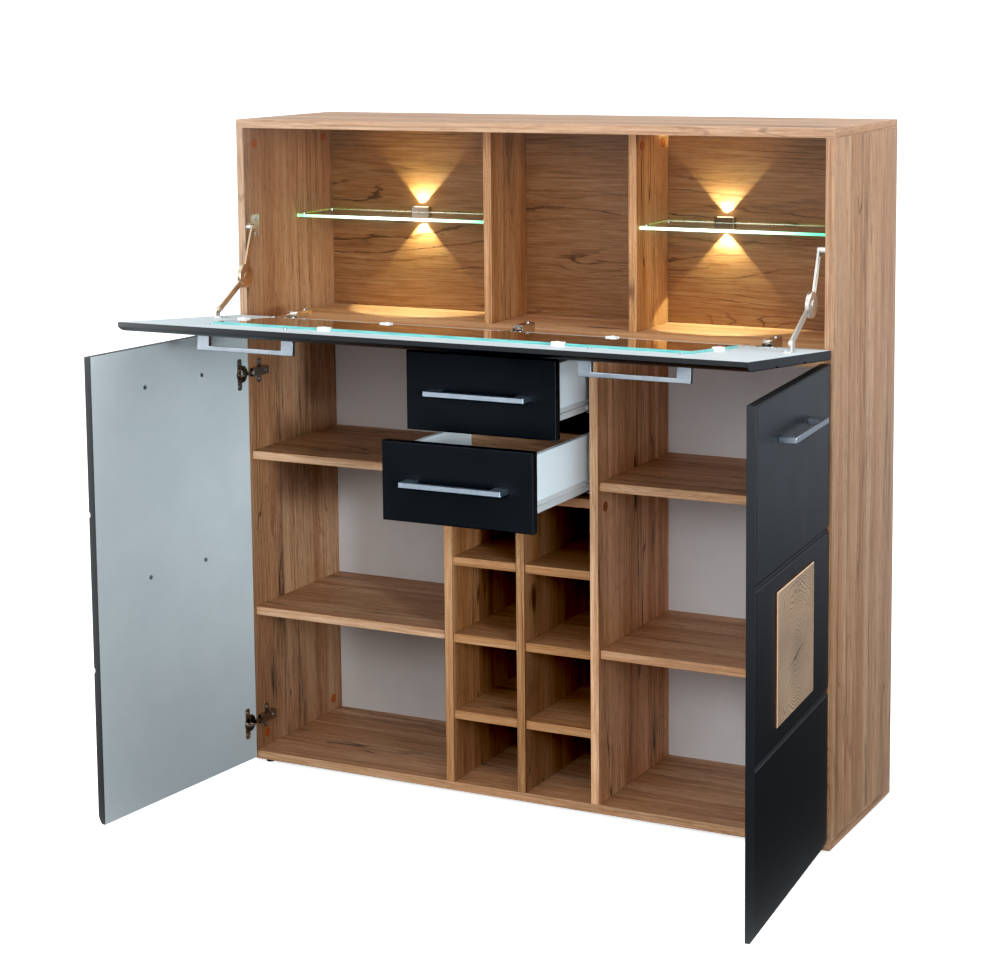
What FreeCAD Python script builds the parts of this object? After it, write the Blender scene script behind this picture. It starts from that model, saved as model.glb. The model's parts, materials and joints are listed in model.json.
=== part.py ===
import FreeCAD, Part
import math
import os

# Bar cabinet with a drop-down flap, two doors, two drawers and a bottle rack.
# Lengths are in millimetres. X runs along the cabinet, Y from its front to its back, Z up.
# It is drawn about the carcass: X is 0 in the middle, Y is 0 at the front edges of the boards
# and Z is 0 on the floor. At the end everything moves along Y, so that Y is 0 in the middle
# of the open cabinet. Fronts are drawn closed and then turned or slid to where they rest.

# Carcass
carcass_w = 1300.0
carcass_h = 1364.0
carcass_d = 370.0
board = 18.0
back_t = 6.0
back_recess = 14.0              # from the rear edges of the boards to the back panels
bar_h = 406.0                   # clear height of the bar, between its floor and the top panel
middle_w = 308.0                # clear width of the middle bays
bar_divider_d = 161.0
drawer_shelf_low = 2.5          # the underside of the drawers' shelf below their fronts
drawer_shelf_setback = 2.0
rack_low_share = 0.221291       # shares of the rack's clear height for its lowest and top cells
rack_high_share = 0.212070
rack_rows = 3
rack_setback = 5.0
bay_shelf_shares = (0.326881, 0.698562)  # of a bay's clear height, below each shelf
bay_shelf_setback = 7.5
shelf_play = 0.5                # at each end of a loose shelf

# Feet
foot_h = 8.0
foot_r = 9.0
foot_edge = 1.5
foot_inset_x = 39.0
foot_inset_y = 19.0

# Fronts
front_gap = 3.0                 # between a closed front and the carcass
front_margin = 3.0              # between a front and the carcass's outer faces
front_joint = 3.0               # between a door and the drawers beside it
drawer_lap = 7.5                # how far the drawer fronts cover the dividers
door_rise = 5.0
door_top_drop = 8.0             # doors' tops below the bar floor's upper face
drawer_front_h = 155.5
drawer_joint = 4.0              # between the two drawer fronts
flap_joint = 6.0                # between the doors' tops and the flap
door_edge_round = 2.5
drawer_edge_round = 3.0
bevel_h = 27.0                  # curved bevel along the doors' feet and the flap's top
bevel_d = 9.0
bevel_bulge = 2.3
groove_w = 14.0
groove_d = 4.4
door_open_deg = 94.7
flap_open_deg = 85.0
upper_drawer_out = 141.0
lower_drawer_kept = 60.0        # length of the lower drawer's sides that stays inside

# Wooden inlay on each door
inlay_side = 240.0
inlay_t = 6.5
inlay_pocket_d = 3.0
inlay_play = 1.0
inlay_chamfer = 1.2
inlay_screw_span = 172.0

# Bar handles
handle_l = 216.0
handle_out = 32.0
handle_bar_h = 10.0
handle_bar_t = 9.0
handle_foot_w = 26.0
handle_chamfer = 0.7
handle_screw_span = 176.0
door_handle_drop = 80.0         # below the door's top
flap_handle_drop = 81.0         # from the flap's free edge

# Screws that hold handles and inlays from behind
screw_r = 2.0
screw_hole_play = 0.2
screw_head_r = 4.2
screw_head_h = 2.4
screw_socket_r = 1.6
screw_socket_d = 1.2

# Cup hinges: each turns about one pin
door_pin_depth = 10.5           # pin below the front's inner face
door_pin_edge = 7.0             # pin from the front's hinge edge
door_bore_d = 14.5
flap_pin_depth = 12.0
flap_pin_edge = 8.0
flap_bore_d = 16.0
cup_r = 17.5
cup_rim = 3.0                   # board left between the cup and the hinge edge
cup_play = 0.1
cup_wall = 0.5
cup_floor = 0.6
cup_lip_w = 0.8
cup_lip_t = 1.0
cup_wing_t = 1.5
cup_wing_start = 2.0            # from the cup's centre, away from the hinge edge
cup_wing_end = 16.0
cup_wing_l = 66.0
cup_wing_round = 5.0
cup_screw_span = 48.0
cup_screw_line = 10.0           # screws from the cup's centre line
cup_screw_r = 3.4
cup_screw_h = 1.3
pin_r = 1.25
pin_fit = 0.02
pin_running_play = 0.05
lug_t = 2.0
lug_play = 0.4
lug_reach = 2.7
lug_back = 2.75
pin_overhang = 0.4
arm_eye_r = 2.6
arm_tongue_w = 8.0
arm_tongue_t = 3.4
arm_bar_t = 4.0
arm_swing_gap = 0.7             # between the arm and the front's swinging corner
arm_w = 18.0
arm_wall = 1.5
arm_crown = 3.0
arm_front = 3.0                 # arm's channel behind the carcass's front edge
arm_back = 58.0
plate_t = 2.5
plate_front = 9.0
plate_back = 62.0
plate_post_play = 0.3
plate_wing_l = 52.0
plate_wing_w = 14.0
plate_wing_line = 37.0
plate_wing_round = 5.0
plate_screw_span = 36.0
arm_screw_line = 46.0
arm_screw_r = 3.6
arm_screw_h = 1.2
door_hinge_low = 81.0           # above the door's foot
door_hinge_high = 97.0          # below the door's top
flap_hinge_inset = 130.0        # outer flap hinges from the carcass's outer faces

# Folding stays of the flap
stay_pivot_setback = 9.0
stay_pivot_up = 200.0           # above the bar floor
stay_upper_l = 104.2
stay_lower_l = 116.8
stay_foot_reach = 125.0         # foot pivot from the flap's hinge edge
stay_foot_h = 16.0              # foot pivot above the flap's inner face
stay_inset = 11.5               # upper arm from the side panel
stay_arm_w = 13.0
stay_arm_t = 4.0
stay_groove_w = 8.0
stay_groove_d = 1.5
stay_groove_end = 12.0
stay_side_play = 0.3
stay_disc_r = 25.0
stay_disc_edge = 1.2
stay_hub_r = 9.0
stay_hub_t = 1.5
stay_pin_r = 2.5
stay_pin_head_r = 4.6
stay_pin_head_t = 1.2
stay_boss_r = 7.0
stay_bracket_t = 2.0
stay_bracket_h = 49.0
stay_bracket_y0 = 22.0
stay_bracket_y1 = 50.0
stay_bracket_round = 5.0
stay_bracket_arm_h = 16.0
stay_foot_l = 30.0
stay_foot_round = 4.0
stay_foot_w = 16.0
stay_foot_ear_t = 3.0
stay_screw_r = 4.0
stay_screw_h = 2.2
stay_bracket_screw_span = 33.0
stay_foot_screw_span = 20.0

# Mirror glass lying on the flap, with its clips
flap_glass_end_gap = 147.0      # from the flap's ends
flap_glass_hinge_gap = 90.0     # from the flap's hinge edge
flap_glass_free_gap = 108.0     # from the flap's free edge
flap_glass_t = 5.0
clip_w = 22.0
clip_l = 14.0
clip_over = 4.0
clip_play = 0.2
clip_lip_t = 2.2
clip_round = 2.0
clip_x = 245.0                  # front and rear clips from the cabinet's middle
clip_end_off = 2.5              # end clips from the glass's middle line, to the hinge side
clip_screw_r = 3.0
clip_screw_h = 1.0

# Glass shelves in the bar
glass_up = 206.0                # above the bar floor
glass_t = 5.5
glass_setback = 10.0            # behind the bar dividers' front edges
glass_back_gap = 5.0            # from the glass's rear edge to the back panel
glass_play = 1.0
glass_corner = 3.0

# Small clip lamps on the glass shelves' rear edges
lamp_w = 44.0
lamp_h = 28.0
lamp_back_gap = 2.0
lamp_grip = 12.0                # depth of glass held in the lamp
lamp_play = 0.2
lamp_round = 2.5
lamp_lens_w = 34.0
lamp_lens_l = 8.0
lamp_lens_t = 1.2
left_lamp_off = 231.0           # from the bar divider
right_lamp_off = 129.0

# Shelf pins, glass pegs and the caps over the cam fittings
shelf_pin_r = 2.5
shelf_pin_out = 9.0
shelf_pin_in = 9.0
shelf_pin_play = 0.05
shelf_pin_front = 39.5
shelf_pin_back_gap = 30.0       # from the back panel
peg_front_gap = 20.0            # behind the glass's front edge
peg_back_gap = 26.0             # from the back panel
cam_r = 10.0
cam_t = 1.0
cam_chamfer = 0.4
cam_inset = 34.0                # below the top panel
cam_low_inset = 28.0            # above the bottom panel
side_cam_front = 40.0
side_cam_back_gap = 37.0        # from the back panel
divider_cam_front_gap = 28.5    # behind the divider's front edge
divider_cam_back_gap = 25.0
base_cam_low = 35.0             # below the upper bay shelf
base_cam_front = 34.0
base_cam_back_gap = 34.0

# Drawer boxes
drawer_side_up = 30.0           # side's foot above the front's foot
drawer_side_t = 12.0
drawer_rear_gap = 53.0          # between a closed drawer's sides and the back panel
drawer_side_drop = 15.5         # side's top below the front's top
drawer_gap = 13.0               # between a drawer side and the divider
drawer_back_drop = 6.0          # back's top below the side's top
drawer_bottom_t = 4.0
drawer_bottom_up = 8.0
drawer_side_round = 1.5

# Drawer runners: a rail under each side rolls in a channel on the divider
rail_t = 1.2
rail_h = 22.0
rail_lip_up = 12.0
rail_lip_w = 7.0
channel_t = 1.2
channel_w = 7.0
channel_low = 2.5               # channel's foot below the drawer side
channel_high = 21.0
channel_front = 6.0
channel_rear_gap = 44.0         # from the back panel
roller_r = 5.4
roller_w = 5.0
roller_gap = 0.3
roller_pin_r = 2.0
front_roller_y = 14.0
rear_roller_inset = 10.0

overrun = 1.0                   # how far a cutter reaches past what it cuts
snap = 0.001

# Sizes and places worked out from the ones above
V = FreeCAD.Vector
half_w = carcass_w / 2
inner_w = half_w - board
floor_z = foot_h
base_z = floor_z + board
top_z = floor_z + carcass_h
ceiling_z = top_z - board
bar_top_z = ceiling_z - bar_h
bar_floor_z = bar_top_z - board
back_y = carcass_d - back_recess - back_t
bar_divider_y = back_y - bar_divider_d
divider_in = middle_w / 2
divider_out = divider_in + board
face_y = -front_gap
outer_y = face_y - board
drawer_half = divider_in + drawer_lap
door_in = drawer_half + front_joint
door_out = half_w - front_margin
door_mid = (door_in + door_out) / 2
door_z = floor_z + door_rise
door_top_z = bar_top_z - door_top_drop
door_h = door_top_z - door_z
door_handle_z = door_top_z - door_handle_drop
door_hinge_heights = (door_z + door_hinge_low, door_top_z - door_hinge_high)
upper_drawer_z = door_top_z - drawer_front_h
lower_drawer_z = upper_drawer_z - drawer_joint - drawer_front_h
drawer_shelf_z = lower_drawer_z - drawer_shelf_low
bay_shelf_heights = [base_z + share * (bar_floor_z - base_z) for share in bay_shelf_shares]
flap_z = door_top_z + flap_joint
flap_top_z = top_z - front_margin
flap_h = flap_top_z - flap_z
flap_handle_z = flap_top_z - flap_handle_drop
flap_glass_half = door_out - flap_glass_end_gap
flap_glass_z = (flap_z + flap_glass_hinge_gap, flap_top_z - flap_glass_free_gap)
screw_hole_r = screw_r + screw_hole_play
glass_z = bar_top_z + glass_up
glass_front = bar_divider_y + glass_setback
glass_back = back_y - glass_back_gap
drawer_side_l = back_y - drawer_rear_gap - face_y
drawer_side_h = drawer_front_h - drawer_side_drop - drawer_side_up
lower_drawer_out = drawer_side_l - lower_drawer_kept
door_pivot = V(door_out - door_pin_edge, face_y - door_pin_depth, 0)
flap_pivot = V(0, face_y - flap_pin_depth, flap_z + flap_pin_edge)
side_x = divider_in - drawer_gap
stay_lower_inset = stay_inset + stay_arm_t + stay_side_play


# Small tools for shapes

def block(x, y, z):
    """A box between the low and high value of each axis, given in either order."""
    low = V(min(x), min(y), min(z))
    high = V(max(x), max(y), max(z))
    return Part.makeBox(high.x - low.x, high.y - low.y, high.z - low.z, low)


def rod(radius, start, direction, length):
    """A cylinder that starts at a point and runs along a direction."""
    return Part.makeCylinder(radius, length, start, direction)


def fused(shapes):
    """One solid made of several that touch or overlap."""
    whole = shapes[0]
    for shape in shapes[1:]:
        whole = whole.fuse(shape)
    return whole.removeSplitter()


def moved(shape, x, y, z):
    """A copy of a shape, moved."""
    copy = shape.copy()
    copy.translate(V(x, y, z))
    return copy


def mirrored(shape):
    """The same shape on the other side of the cabinet's middle."""
    return shape.mirror(V(0, 0, 0), V(1, 0, 0))


def both_sides(shapes):
    """Shapes of the right side and their twins on the left."""
    return shapes + [mirrored(shape) for shape in shapes]


def edges_where(shape, test):
    """The edges whose every end passes a test."""
    return [edge for edge in shape.Edges if all(test(end) for end in edge.Vertexes)]


def near(value, target):
    """True if two places are the same."""
    return abs(value - target) < snap


def door_opened(shape):
    """A piece of the closed right door, turned to where the open door rests."""
    copy = shape.copy()
    copy.rotate(door_pivot, V(0, 0, 1), door_open_deg)
    return copy


def flap_opened(shape):
    """A piece of the closed flap, turned to where the open flap rests."""
    copy = shape.copy()
    copy.rotate(flap_pivot, V(1, 0, 0), flap_open_deg)
    return copy


# Places of pins and caps, given for the right half

def shelf_pin_places():
    """Centres of the pins under the bay shelves: X of the wall, its inward sign, Y and Z."""
    places = []
    for height in bay_shelf_heights:
        z = height - shelf_pin_r
        for y in (shelf_pin_front, back_y - shelf_pin_back_gap):
            places.append((inner_w, -1, y, z))
            places.append((divider_out, 1, y, z))
    return places


def peg_places():
    """Centres of the pegs under the glass shelf."""
    z = glass_z - shelf_pin_r
    places = []
    for y in (glass_front + peg_front_gap, back_y - peg_back_gap):
        places.append((inner_w, -1, y, z))
        places.append((divider_out, 1, y, z))
    return places


def pin_solid(place):
    """A pin that stands out of a wall, with its shank inside the wall."""
    x, inward, y, z = place
    start = V(x - inward * shelf_pin_in, y, z)
    return rod(shelf_pin_r, start, V(inward, 0, 0), shelf_pin_in + shelf_pin_out)


def with_pin_holes(board_shape, places):
    """A board with the holes that its pins stand in."""
    for x, inward, y, z in places:
        start = V(x - inward * shelf_pin_in, y, z)
        hole = rod(shelf_pin_r + shelf_pin_play, start, V(inward, 0, 0), shelf_pin_in + overrun)
        board_shape = board_shape.cut(hole)
    return board_shape


# Carcass

def top_panel():
    return block((-half_w, half_w), (0, carcass_d), (ceiling_z, top_z))


def bottom_panel():
    return block((-half_w, half_w), (0, carcass_d), (floor_z, base_z))


def side_panel():
    """The right side panel, with the holes of its shelf pins and glass pegs."""
    panel = block((inner_w, half_w), (0, carcass_d), (base_z, ceiling_z))
    places = [place for place in shelf_pin_places() + peg_places() if place[0] == inner_w]
    return with_pin_holes(panel, places)


def bar_floor():
    return block((-inner_w, inner_w), (0, carcass_d), (bar_floor_z, bar_top_z))


def bar_divider():
    """The right upright in the bar, set back from the carcass's front."""
    panel = block((divider_in, divider_out), (bar_divider_y, back_y), (bar_top_z, ceiling_z))
    return with_pin_holes(panel, [place for place in peg_places() if place[0] == divider_out])


def lower_divider():
    """The right upright below the bar."""
    panel = block((divider_in, divider_out), (0, carcass_d), (base_z, bar_floor_z))
    places = [place for place in shelf_pin_places() if place[0] == divider_out]
    return with_pin_holes(panel, places)


def back_board(x, z):
    """A thin back panel between two places along X and two heights."""
    return block(x, (back_y, back_y + back_t), z)


def drawer_base_shelf():
    z = (drawer_shelf_z, drawer_shelf_z + board)
    return block((-divider_in, divider_in), (drawer_shelf_setback, back_y), z)


def rack_divider():
    """The upright in the middle of the bottle rack."""
    return block((-board / 2, board / 2), (0, back_y), (base_z, drawer_shelf_z))


def rack_shelves():
    """The rack's short shelves, a pair to each row."""
    shelves = []
    clear_h = drawer_shelf_z - base_z
    low = base_z + rack_low_share * clear_h
    high = drawer_shelf_z - rack_high_share * clear_h - board
    for row in range(rack_rows):
        z = low + row * (high - low) / (rack_rows - 1)
        shelves.append(block((board / 2, divider_in), (rack_setback, back_y), (z, z + board)))
    return both_sides(shelves)


def bay_shelves():
    """The two loose shelves of the right bay."""
    shelves = []
    for z in bay_shelf_heights:
        x = (divider_out + shelf_play, inner_w - shelf_play)
        shelves.append(block(x, (bay_shelf_setback, back_y), (z, z + board)))
    return shelves


def feet():
    """Four round glides with a softened lower edge."""
    glides = []
    for x in (-half_w + foot_inset_x, half_w - foot_inset_x):
        for y in (foot_inset_y, carcass_d - foot_inset_y):
            glide = rod(foot_r, V(x, y, 0), V(0, 0, 1), foot_h)
            low = edges_where(glide, lambda end: near(end.Z, 0))
            glides.append(glide.makeFillet(foot_edge, low))
    return glides


def cam_cap(x, inward, y, z):
    """A low round cap on a board's face."""
    cap = rod(cam_r, V(x, y, z), V(inward, 0, 0), cam_t)
    rim = edges_where(cap, lambda end: near(end.X, x + inward * cam_t))
    return cap.makeChamfer(cam_chamfer, rim)


def cam_caps():
    """Caps near the ends of the uprights, where the horizontal boards are pulled tight."""
    caps = []
    for y in (side_cam_front, back_y - side_cam_back_gap):
        caps.append(cam_cap(inner_w, -1, y, ceiling_z - cam_inset))
        caps.append(cam_cap(inner_w, -1, y, base_z + cam_low_inset))
    for y in (bar_divider_y + divider_cam_front_gap, back_y - divider_cam_back_gap):
        caps.append(cam_cap(divider_out, 1, y, ceiling_z - cam_inset))
    for y in (base_cam_front, back_y - base_cam_back_gap):
        caps.append(cam_cap(divider_out, 1, y, bay_shelf_heights[-1] - base_cam_low))
    return both_sides(caps)


# Glass shelves and their lamps

def glass_shelf():
    """The right bay's glass shelf. Its front corners are rounded."""
    x = (divider_out + glass_play, inner_w - glass_play)
    glass = block(x, (glass_front, glass_back), (glass_z, glass_z + glass_t))
    corners = [edge for edge in edges_where(glass, lambda end: near(end.Y, glass_front))
               if near(edge.Vertexes[0].X, edge.Vertexes[1].X)]
    return glass.makeFillet(glass_corner, corners)


def clip_lamp(x):
    """A lamp that grips the rear edge of a glass shelf, and its upper and lower lenses."""
    mid_z = glass_z + glass_t / 2
    y = (glass_back - lamp_grip, back_y - lamp_back_gap)
    z = (mid_z - lamp_h / 2, mid_z + lamp_h / 2)
    body = block((x - lamp_w / 2, x + lamp_w / 2), y, z)
    upright = [edge for edge in body.Edges if not near(edge.Vertexes[0].Z, edge.Vertexes[1].Z)]
    body = body.makeFillet(lamp_round, upright)
    slot_z = (glass_z - lamp_play, glass_z + glass_t + lamp_play)
    slot_y = (y[0] - overrun, glass_back + lamp_play)
    body = body.cut(block((x - lamp_w, x + lamp_w), slot_y, slot_z))
    lenses = []
    lens_x = (x - lamp_lens_w / 2, x + lamp_lens_w / 2)
    mid_y = (y[0] + y[1]) / 2
    lens_y = (mid_y - lamp_lens_l / 2, mid_y + lamp_lens_l / 2)
    for face, inward in ((z[0], 1), (z[1], -1)):
        lens = block(lens_x, lens_y, (face, face + inward * lamp_lens_t))
        body = body.cut(lens)
        lenses.append(lens)
    return [body], lenses


# Screws and handles. A screw's head lies on the inner face of a closed front.

def back_screw(x, z, bottom_y):
    """A screw from the front's inner face to the piece that it holds, at bottom_y."""
    head = rod(screw_head_r, V(x, face_y, z), V(0, 1, 0), screw_head_h)
    socket_y = face_y + screw_head_h - screw_socket_d
    socket = rod(screw_socket_r, V(x, socket_y, z), V(0, 1, 0), screw_socket_d + overrun)
    shank = rod(screw_r, V(x, bottom_y, z), V(0, 1, 0), face_y - bottom_y)
    return fused([head, shank]).cut(socket)


def screw_hole(x, z):
    """The cutter of a screw's hole right through a front."""
    start = V(x, outer_y - overrun, z)
    return rod(screw_hole_r, start, V(0, 1, 0), board + 2 * overrun)


def screw_pair(x, z, bottom_y):
    """The two screws of a handle whose middle is at x."""
    return [back_screw(x + side * handle_screw_span / 2, z, bottom_y) for side in (-1, 1)]


def bar_handle(x, z):
    """A flat bar on two feet, standing out from the closed fronts' outer face."""
    bar_y = (outer_y - handle_out, outer_y - handle_out + handle_bar_t)
    height = (z - handle_bar_h / 2, z + handle_bar_h / 2)
    parts = [block((x - handle_l / 2, x + handle_l / 2), bar_y, height)]
    for side in (-1, 1):
        end = x + side * handle_l / 2
        parts.append(block((end - side * handle_foot_w, end), (bar_y[0], outer_y), height))
    handle = fused(parts)
    soft = [edge for edge in handle.Edges
            if not any(near(end.Y, outer_y) for end in edge.Vertexes)]
    return handle.makeChamfer(handle_chamfer, soft)


# Fronts, drawn closed

def front_board(x, z, edge_round):
    """A board with its outer face's edges rounded."""
    panel = block(x, (outer_y, face_y), z)
    rim = edges_where(panel, lambda end: near(end.Y, outer_y))
    return panel.makeFillet(edge_round, rim)


def bevel_cutter(x, z, up):
    """What the curved bevel takes off a front's end at height z; up is 1 at a top, -1 at a foot."""
    start = V(x[0], outer_y, z - up * bevel_h)
    end = V(x[0], outer_y + bevel_d, z)
    chord = end - start
    outward = V(0, -abs(chord.z), up * abs(chord.y)).normalize()
    middle = (start + end) / 2 + outward * bevel_bulge
    corner_a = V(x[0], outer_y + bevel_d, z + up * overrun)
    corner_b = V(x[0], outer_y - overrun, z + up * overrun)
    corner_c = V(x[0], outer_y - overrun, z - up * bevel_h)
    edges = [Part.Arc(start, middle, end).toShape()]
    corners = [end, corner_a, corner_b, corner_c, start]
    for first, second in zip(corners, corners[1:]):
        edges.append(Part.LineSegment(first, second).toShape())
    return Part.Face(Part.Wire(edges)).extrude(V(x[1] - x[0], 0, 0))


def groove_cutter(x, z):
    """The cutter of a shallow round groove along X in the outer face."""
    radius = ((groove_w / 2) ** 2 + groove_d ** 2) / (2 * groove_d)
    start = V(min(x) - overrun, outer_y + groove_d - radius, z)
    return rod(radius, start, V(1, 0, 0), abs(x[1] - x[0]) + 2 * overrun)


def hinge_bore(depth, pin_depth, pin_edge):
    """The cutter of a cup's bore, in the hinge's own axes."""
    centre = cup_r + cup_rim - pin_edge
    return rod(cup_r, V(centre, pin_depth - depth, 0), V(0, 1, 0), depth + overrun)


def inlay_square(play):
    """Half sizes of the door's inlay along X and Z, and its middle's height."""
    return inlay_side / 2 + play, door_z + door_h / 2


def inlay_screw_places():
    """The two screws behind the right door's inlay, level with its middle."""
    half, mid_z = inlay_square(0)
    return [(door_mid + side * inlay_screw_span / 2, mid_z) for side in (-1, 1)]


def handle_screw_places(x, z):
    return [(x + side * handle_screw_span / 2, z) for side in (-1, 1)]


def door_panel():
    """The right door: grooved, bevelled at its foot, bored for hinges, screws and the inlay."""
    x = (door_in, door_out)
    panel = front_board(x, (door_z, door_top_z), door_edge_round)
    panel = panel.cut(bevel_cutter((door_in - overrun, door_out + overrun), door_z, -1))
    for share in (1 / 3, 2 / 3):
        panel = panel.cut(groove_cutter(x, door_z + door_h * share))
    half, mid_z = inlay_square(inlay_play)
    pocket_x = (door_mid - half, door_mid + half)
    pocket_y = (outer_y - overrun, outer_y + inlay_pocket_d)
    panel = panel.cut(block(pocket_x, pocket_y, (mid_z - half, mid_z + half)))
    for height in door_hinge_heights:
        bore = hinge_bore(door_bore_d, door_pin_depth, door_pin_edge)
        panel = panel.cut(door_hinge_placed(bore, height))
    places = inlay_screw_places() + handle_screw_places(door_mid, door_handle_z)
    for screw_x, screw_z in places:
        panel = panel.cut(screw_hole(screw_x, screw_z))
    return panel


def door_inlay():
    """A wooden square set into the door, and the screws behind it."""
    half, mid_z = inlay_square(0)
    seat_y = outer_y + inlay_pocket_d
    plate = block((door_mid - half, door_mid + half), (seat_y - inlay_t, seat_y),
                  (mid_z - half, mid_z + half))
    rim = edges_where(plate, lambda end: near(end.Y, seat_y - inlay_t))
    plate = plate.makeChamfer(inlay_chamfer, rim)
    return [plate] + [back_screw(x, z, seat_y) for x, z in inlay_screw_places()]


def door_handle():
    return [bar_handle(door_mid, door_handle_z)] + screw_pair(door_mid, door_handle_z, outer_y)


def flap_panel():
    """The flap: two grooves, a curved bevel at its free edge, bores for hinges and screws."""
    x = (-door_out, door_out)
    panel = front_board(x, (flap_z, flap_top_z), door_edge_round)
    wide = (-door_out - overrun, door_out + overrun)
    panel = panel.cut(bevel_cutter(wide, flap_top_z, 1))
    for share in (1 / 3, 2 / 3):
        panel = panel.cut(groove_cutter(x, flap_z + flap_h * share))
    for hinge_x in flap_hinge_places():
        bore = hinge_bore(flap_bore_d, flap_pin_depth, flap_pin_edge)
        panel = panel.cut(flap_hinge_placed(bore, hinge_x))
    for side in (-1, 1):
        for screw_x, screw_z in handle_screw_places(side * door_mid, flap_handle_z):
            panel = panel.cut(screw_hole(screw_x, screw_z))
    return panel


def flap_handles():
    solids = []
    for side in (-1, 1):
        solids.append(bar_handle(side * door_mid, flap_handle_z))
        solids.extend(screw_pair(side * door_mid, flap_handle_z, outer_y))
    return solids


def flap_glass():
    """The mirror glass that lies on the flap's inner face."""
    return block((-flap_glass_half, flap_glass_half), (face_y, face_y + flap_glass_t),
                 flap_glass_z)


def glass_clip():
    """A clip in its own axes: the glass's edge is at Z = 0, glass above it, Y out of the board."""
    height = flap_glass_t + clip_play + clip_lip_t
    body = block((-clip_w / 2, clip_w / 2), (0, height), (-clip_l, clip_over))
    upright = [edge for edge in body.Edges if not near(edge.Vertexes[0].Y, edge.Vertexes[1].Y)]
    body = body.makeFillet(clip_round, upright)
    room = flap_glass_t + clip_play
    body = body.cut(block((-clip_w, clip_w), (-overrun, room), (-clip_play, clip_l)))
    screw = rod(clip_screw_r, V(0, height, -clip_l / 2), V(0, 1, 0), clip_screw_h)
    return fused([body, screw])


def glass_clips():
    """Two clips along each long edge of the glass and one at each end."""
    clips = []
    for x in (-clip_x, clip_x):
        clips.append(moved(glass_clip(), x, face_y, flap_glass_z[0]))
        far = glass_clip()
        far.rotate(V(0, 0, 0), V(0, 1, 0), 180)
        clips.append(moved(far, x, face_y, flap_glass_z[1]))
    end_z = sum(flap_glass_z) / 2 - clip_end_off
    for side in (-1, 1):
        end = glass_clip()
        end.rotate(V(0, 0, 0), V(0, 1, 0), -side * 90)
        clips.append(moved(end, side * flap_glass_half, face_y, end_z))
    return clips


# Cup hinges. In a hinge's own axes X points away from the front's hinge edge, Y points from
# the closed front towards the carcass, Z lies along the pin, and 0 is the pin's middle.

def flap_hinge_places():
    return [-half_w + flap_hinge_inset, 0, half_w - flap_hinge_inset]


def door_hinge_placed(shape, height):
    """A hinge piece of the closed right door at a height."""
    turn = FreeCAD.Rotation(V(-1, 0, 0), V(0, 1, 0), V(0, 0, -1), "XYZ")
    place = V(door_pivot.x, door_pivot.y, height)
    copy = shape.copy()
    copy.Placement = FreeCAD.Placement(place, turn)
    return copy


def flap_hinge_placed(shape, x):
    """A hinge piece of the closed flap at a place along it."""
    turn = FreeCAD.Rotation(V(0, 0, 1), V(0, 1, 0), V(-1, 0, 0), "XYZ")
    copy = shape.copy()
    copy.Placement = FreeCAD.Placement(V(x, flap_pivot.y, flap_pivot.z), turn)
    return copy


def hinge_cup(depth, pin_depth, pin_edge):
    """The pressed cup with its winged flange, two lugs for the pin, the pin and two screws."""
    centre = cup_r + cup_rim - pin_edge
    low = pin_depth - depth
    outer_r = cup_r - cup_play
    inner_r = outer_r - cup_wall
    wall = rod(outer_r, V(centre, low, 0), V(0, 1, 0), depth)
    lip = rod(outer_r + cup_lip_w, V(centre, pin_depth, 0), V(0, 1, 0), cup_lip_t)
    wing = block((centre + cup_wing_start, centre + cup_wing_end),
                 (pin_depth, pin_depth + cup_wing_t), (-cup_wing_l / 2, cup_wing_l / 2))
    upright = [edge for edge in wing.Edges if not near(edge.Vertexes[0].Y, edge.Vertexes[1].Y)]
    wing = wing.makeFillet(cup_wing_round, upright)
    hollow = rod(inner_r, V(centre, low + cup_floor, 0), V(0, 1, 0), depth + 2 * overrun)
    cup = fused([wall, lip, wing]).cut(hollow)
    lug_z0 = arm_tongue_w / 2 + lug_play
    hole = rod(pin_r + pin_fit, V(0, 0, -cup_r), V(0, 0, 1), 2 * cup_r)
    for side in (-1, 1):
        z = (side * lug_z0, side * (lug_z0 + lug_t))
        lug = block((-lug_back, lug_reach), (low + cup_floor / 2, lug_reach), z)
        cup = fused([cup, lug.cut(hole)])
    reach = lug_z0 + lug_t + pin_overhang
    pin = rod(pin_r, V(0, 0, -reach), V(0, 0, 1), 2 * reach)
    screws = []
    for side in (-1, 1):
        place = V(centre + cup_screw_line, pin_depth + cup_wing_t, side * cup_screw_span / 2)
        screws.append(rod(cup_screw_r, place, V(0, 1, 0), cup_screw_h))
    return [cup, pin] + screws


def hinge_arm(pin_depth, pin_edge, mount):
    """The fixed arm, its cross plate and screws. mount is the X of the carcass face."""
    front = front_gap + pin_depth
    swing = math.hypot(pin_depth, pin_edge) + arm_swing_gap
    half_tongue = arm_tongue_w / 2
    tongue_z = (-half_tongue, half_tongue)
    eye = rod(arm_eye_r, V(0, 0, -half_tongue), V(0, 0, 1), arm_tongue_w)
    stem = block((0, swing + arm_bar_t), (-arm_tongue_t / 2, arm_tongue_t / 2), tongue_z)
    body_y = front + arm_front
    bar = block((swing, swing + arm_bar_t), (-arm_tongue_t / 2, body_y + arm_wall), tongue_z)
    crown = swing + arm_bar_t + arm_crown
    seat = mount + plate_t
    end_y = front + arm_back
    body = block((seat, crown), (body_y, end_y), (-arm_w / 2, arm_w / 2))
    room_z = arm_w / 2 - arm_wall
    room = block((seat - overrun, crown - arm_wall), (body_y + arm_wall, end_y + overrun),
                 (-room_z, room_z))
    arm = fused([eye, stem, bar, body.cut(room)])
    arm = arm.cut(rod(pin_r + pin_running_play, V(0, 0, -cup_r), V(0, 0, 1), 2 * cup_r))
    return [arm] + mounting_plate(front, mount, crown - arm_wall, room_z)


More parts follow.
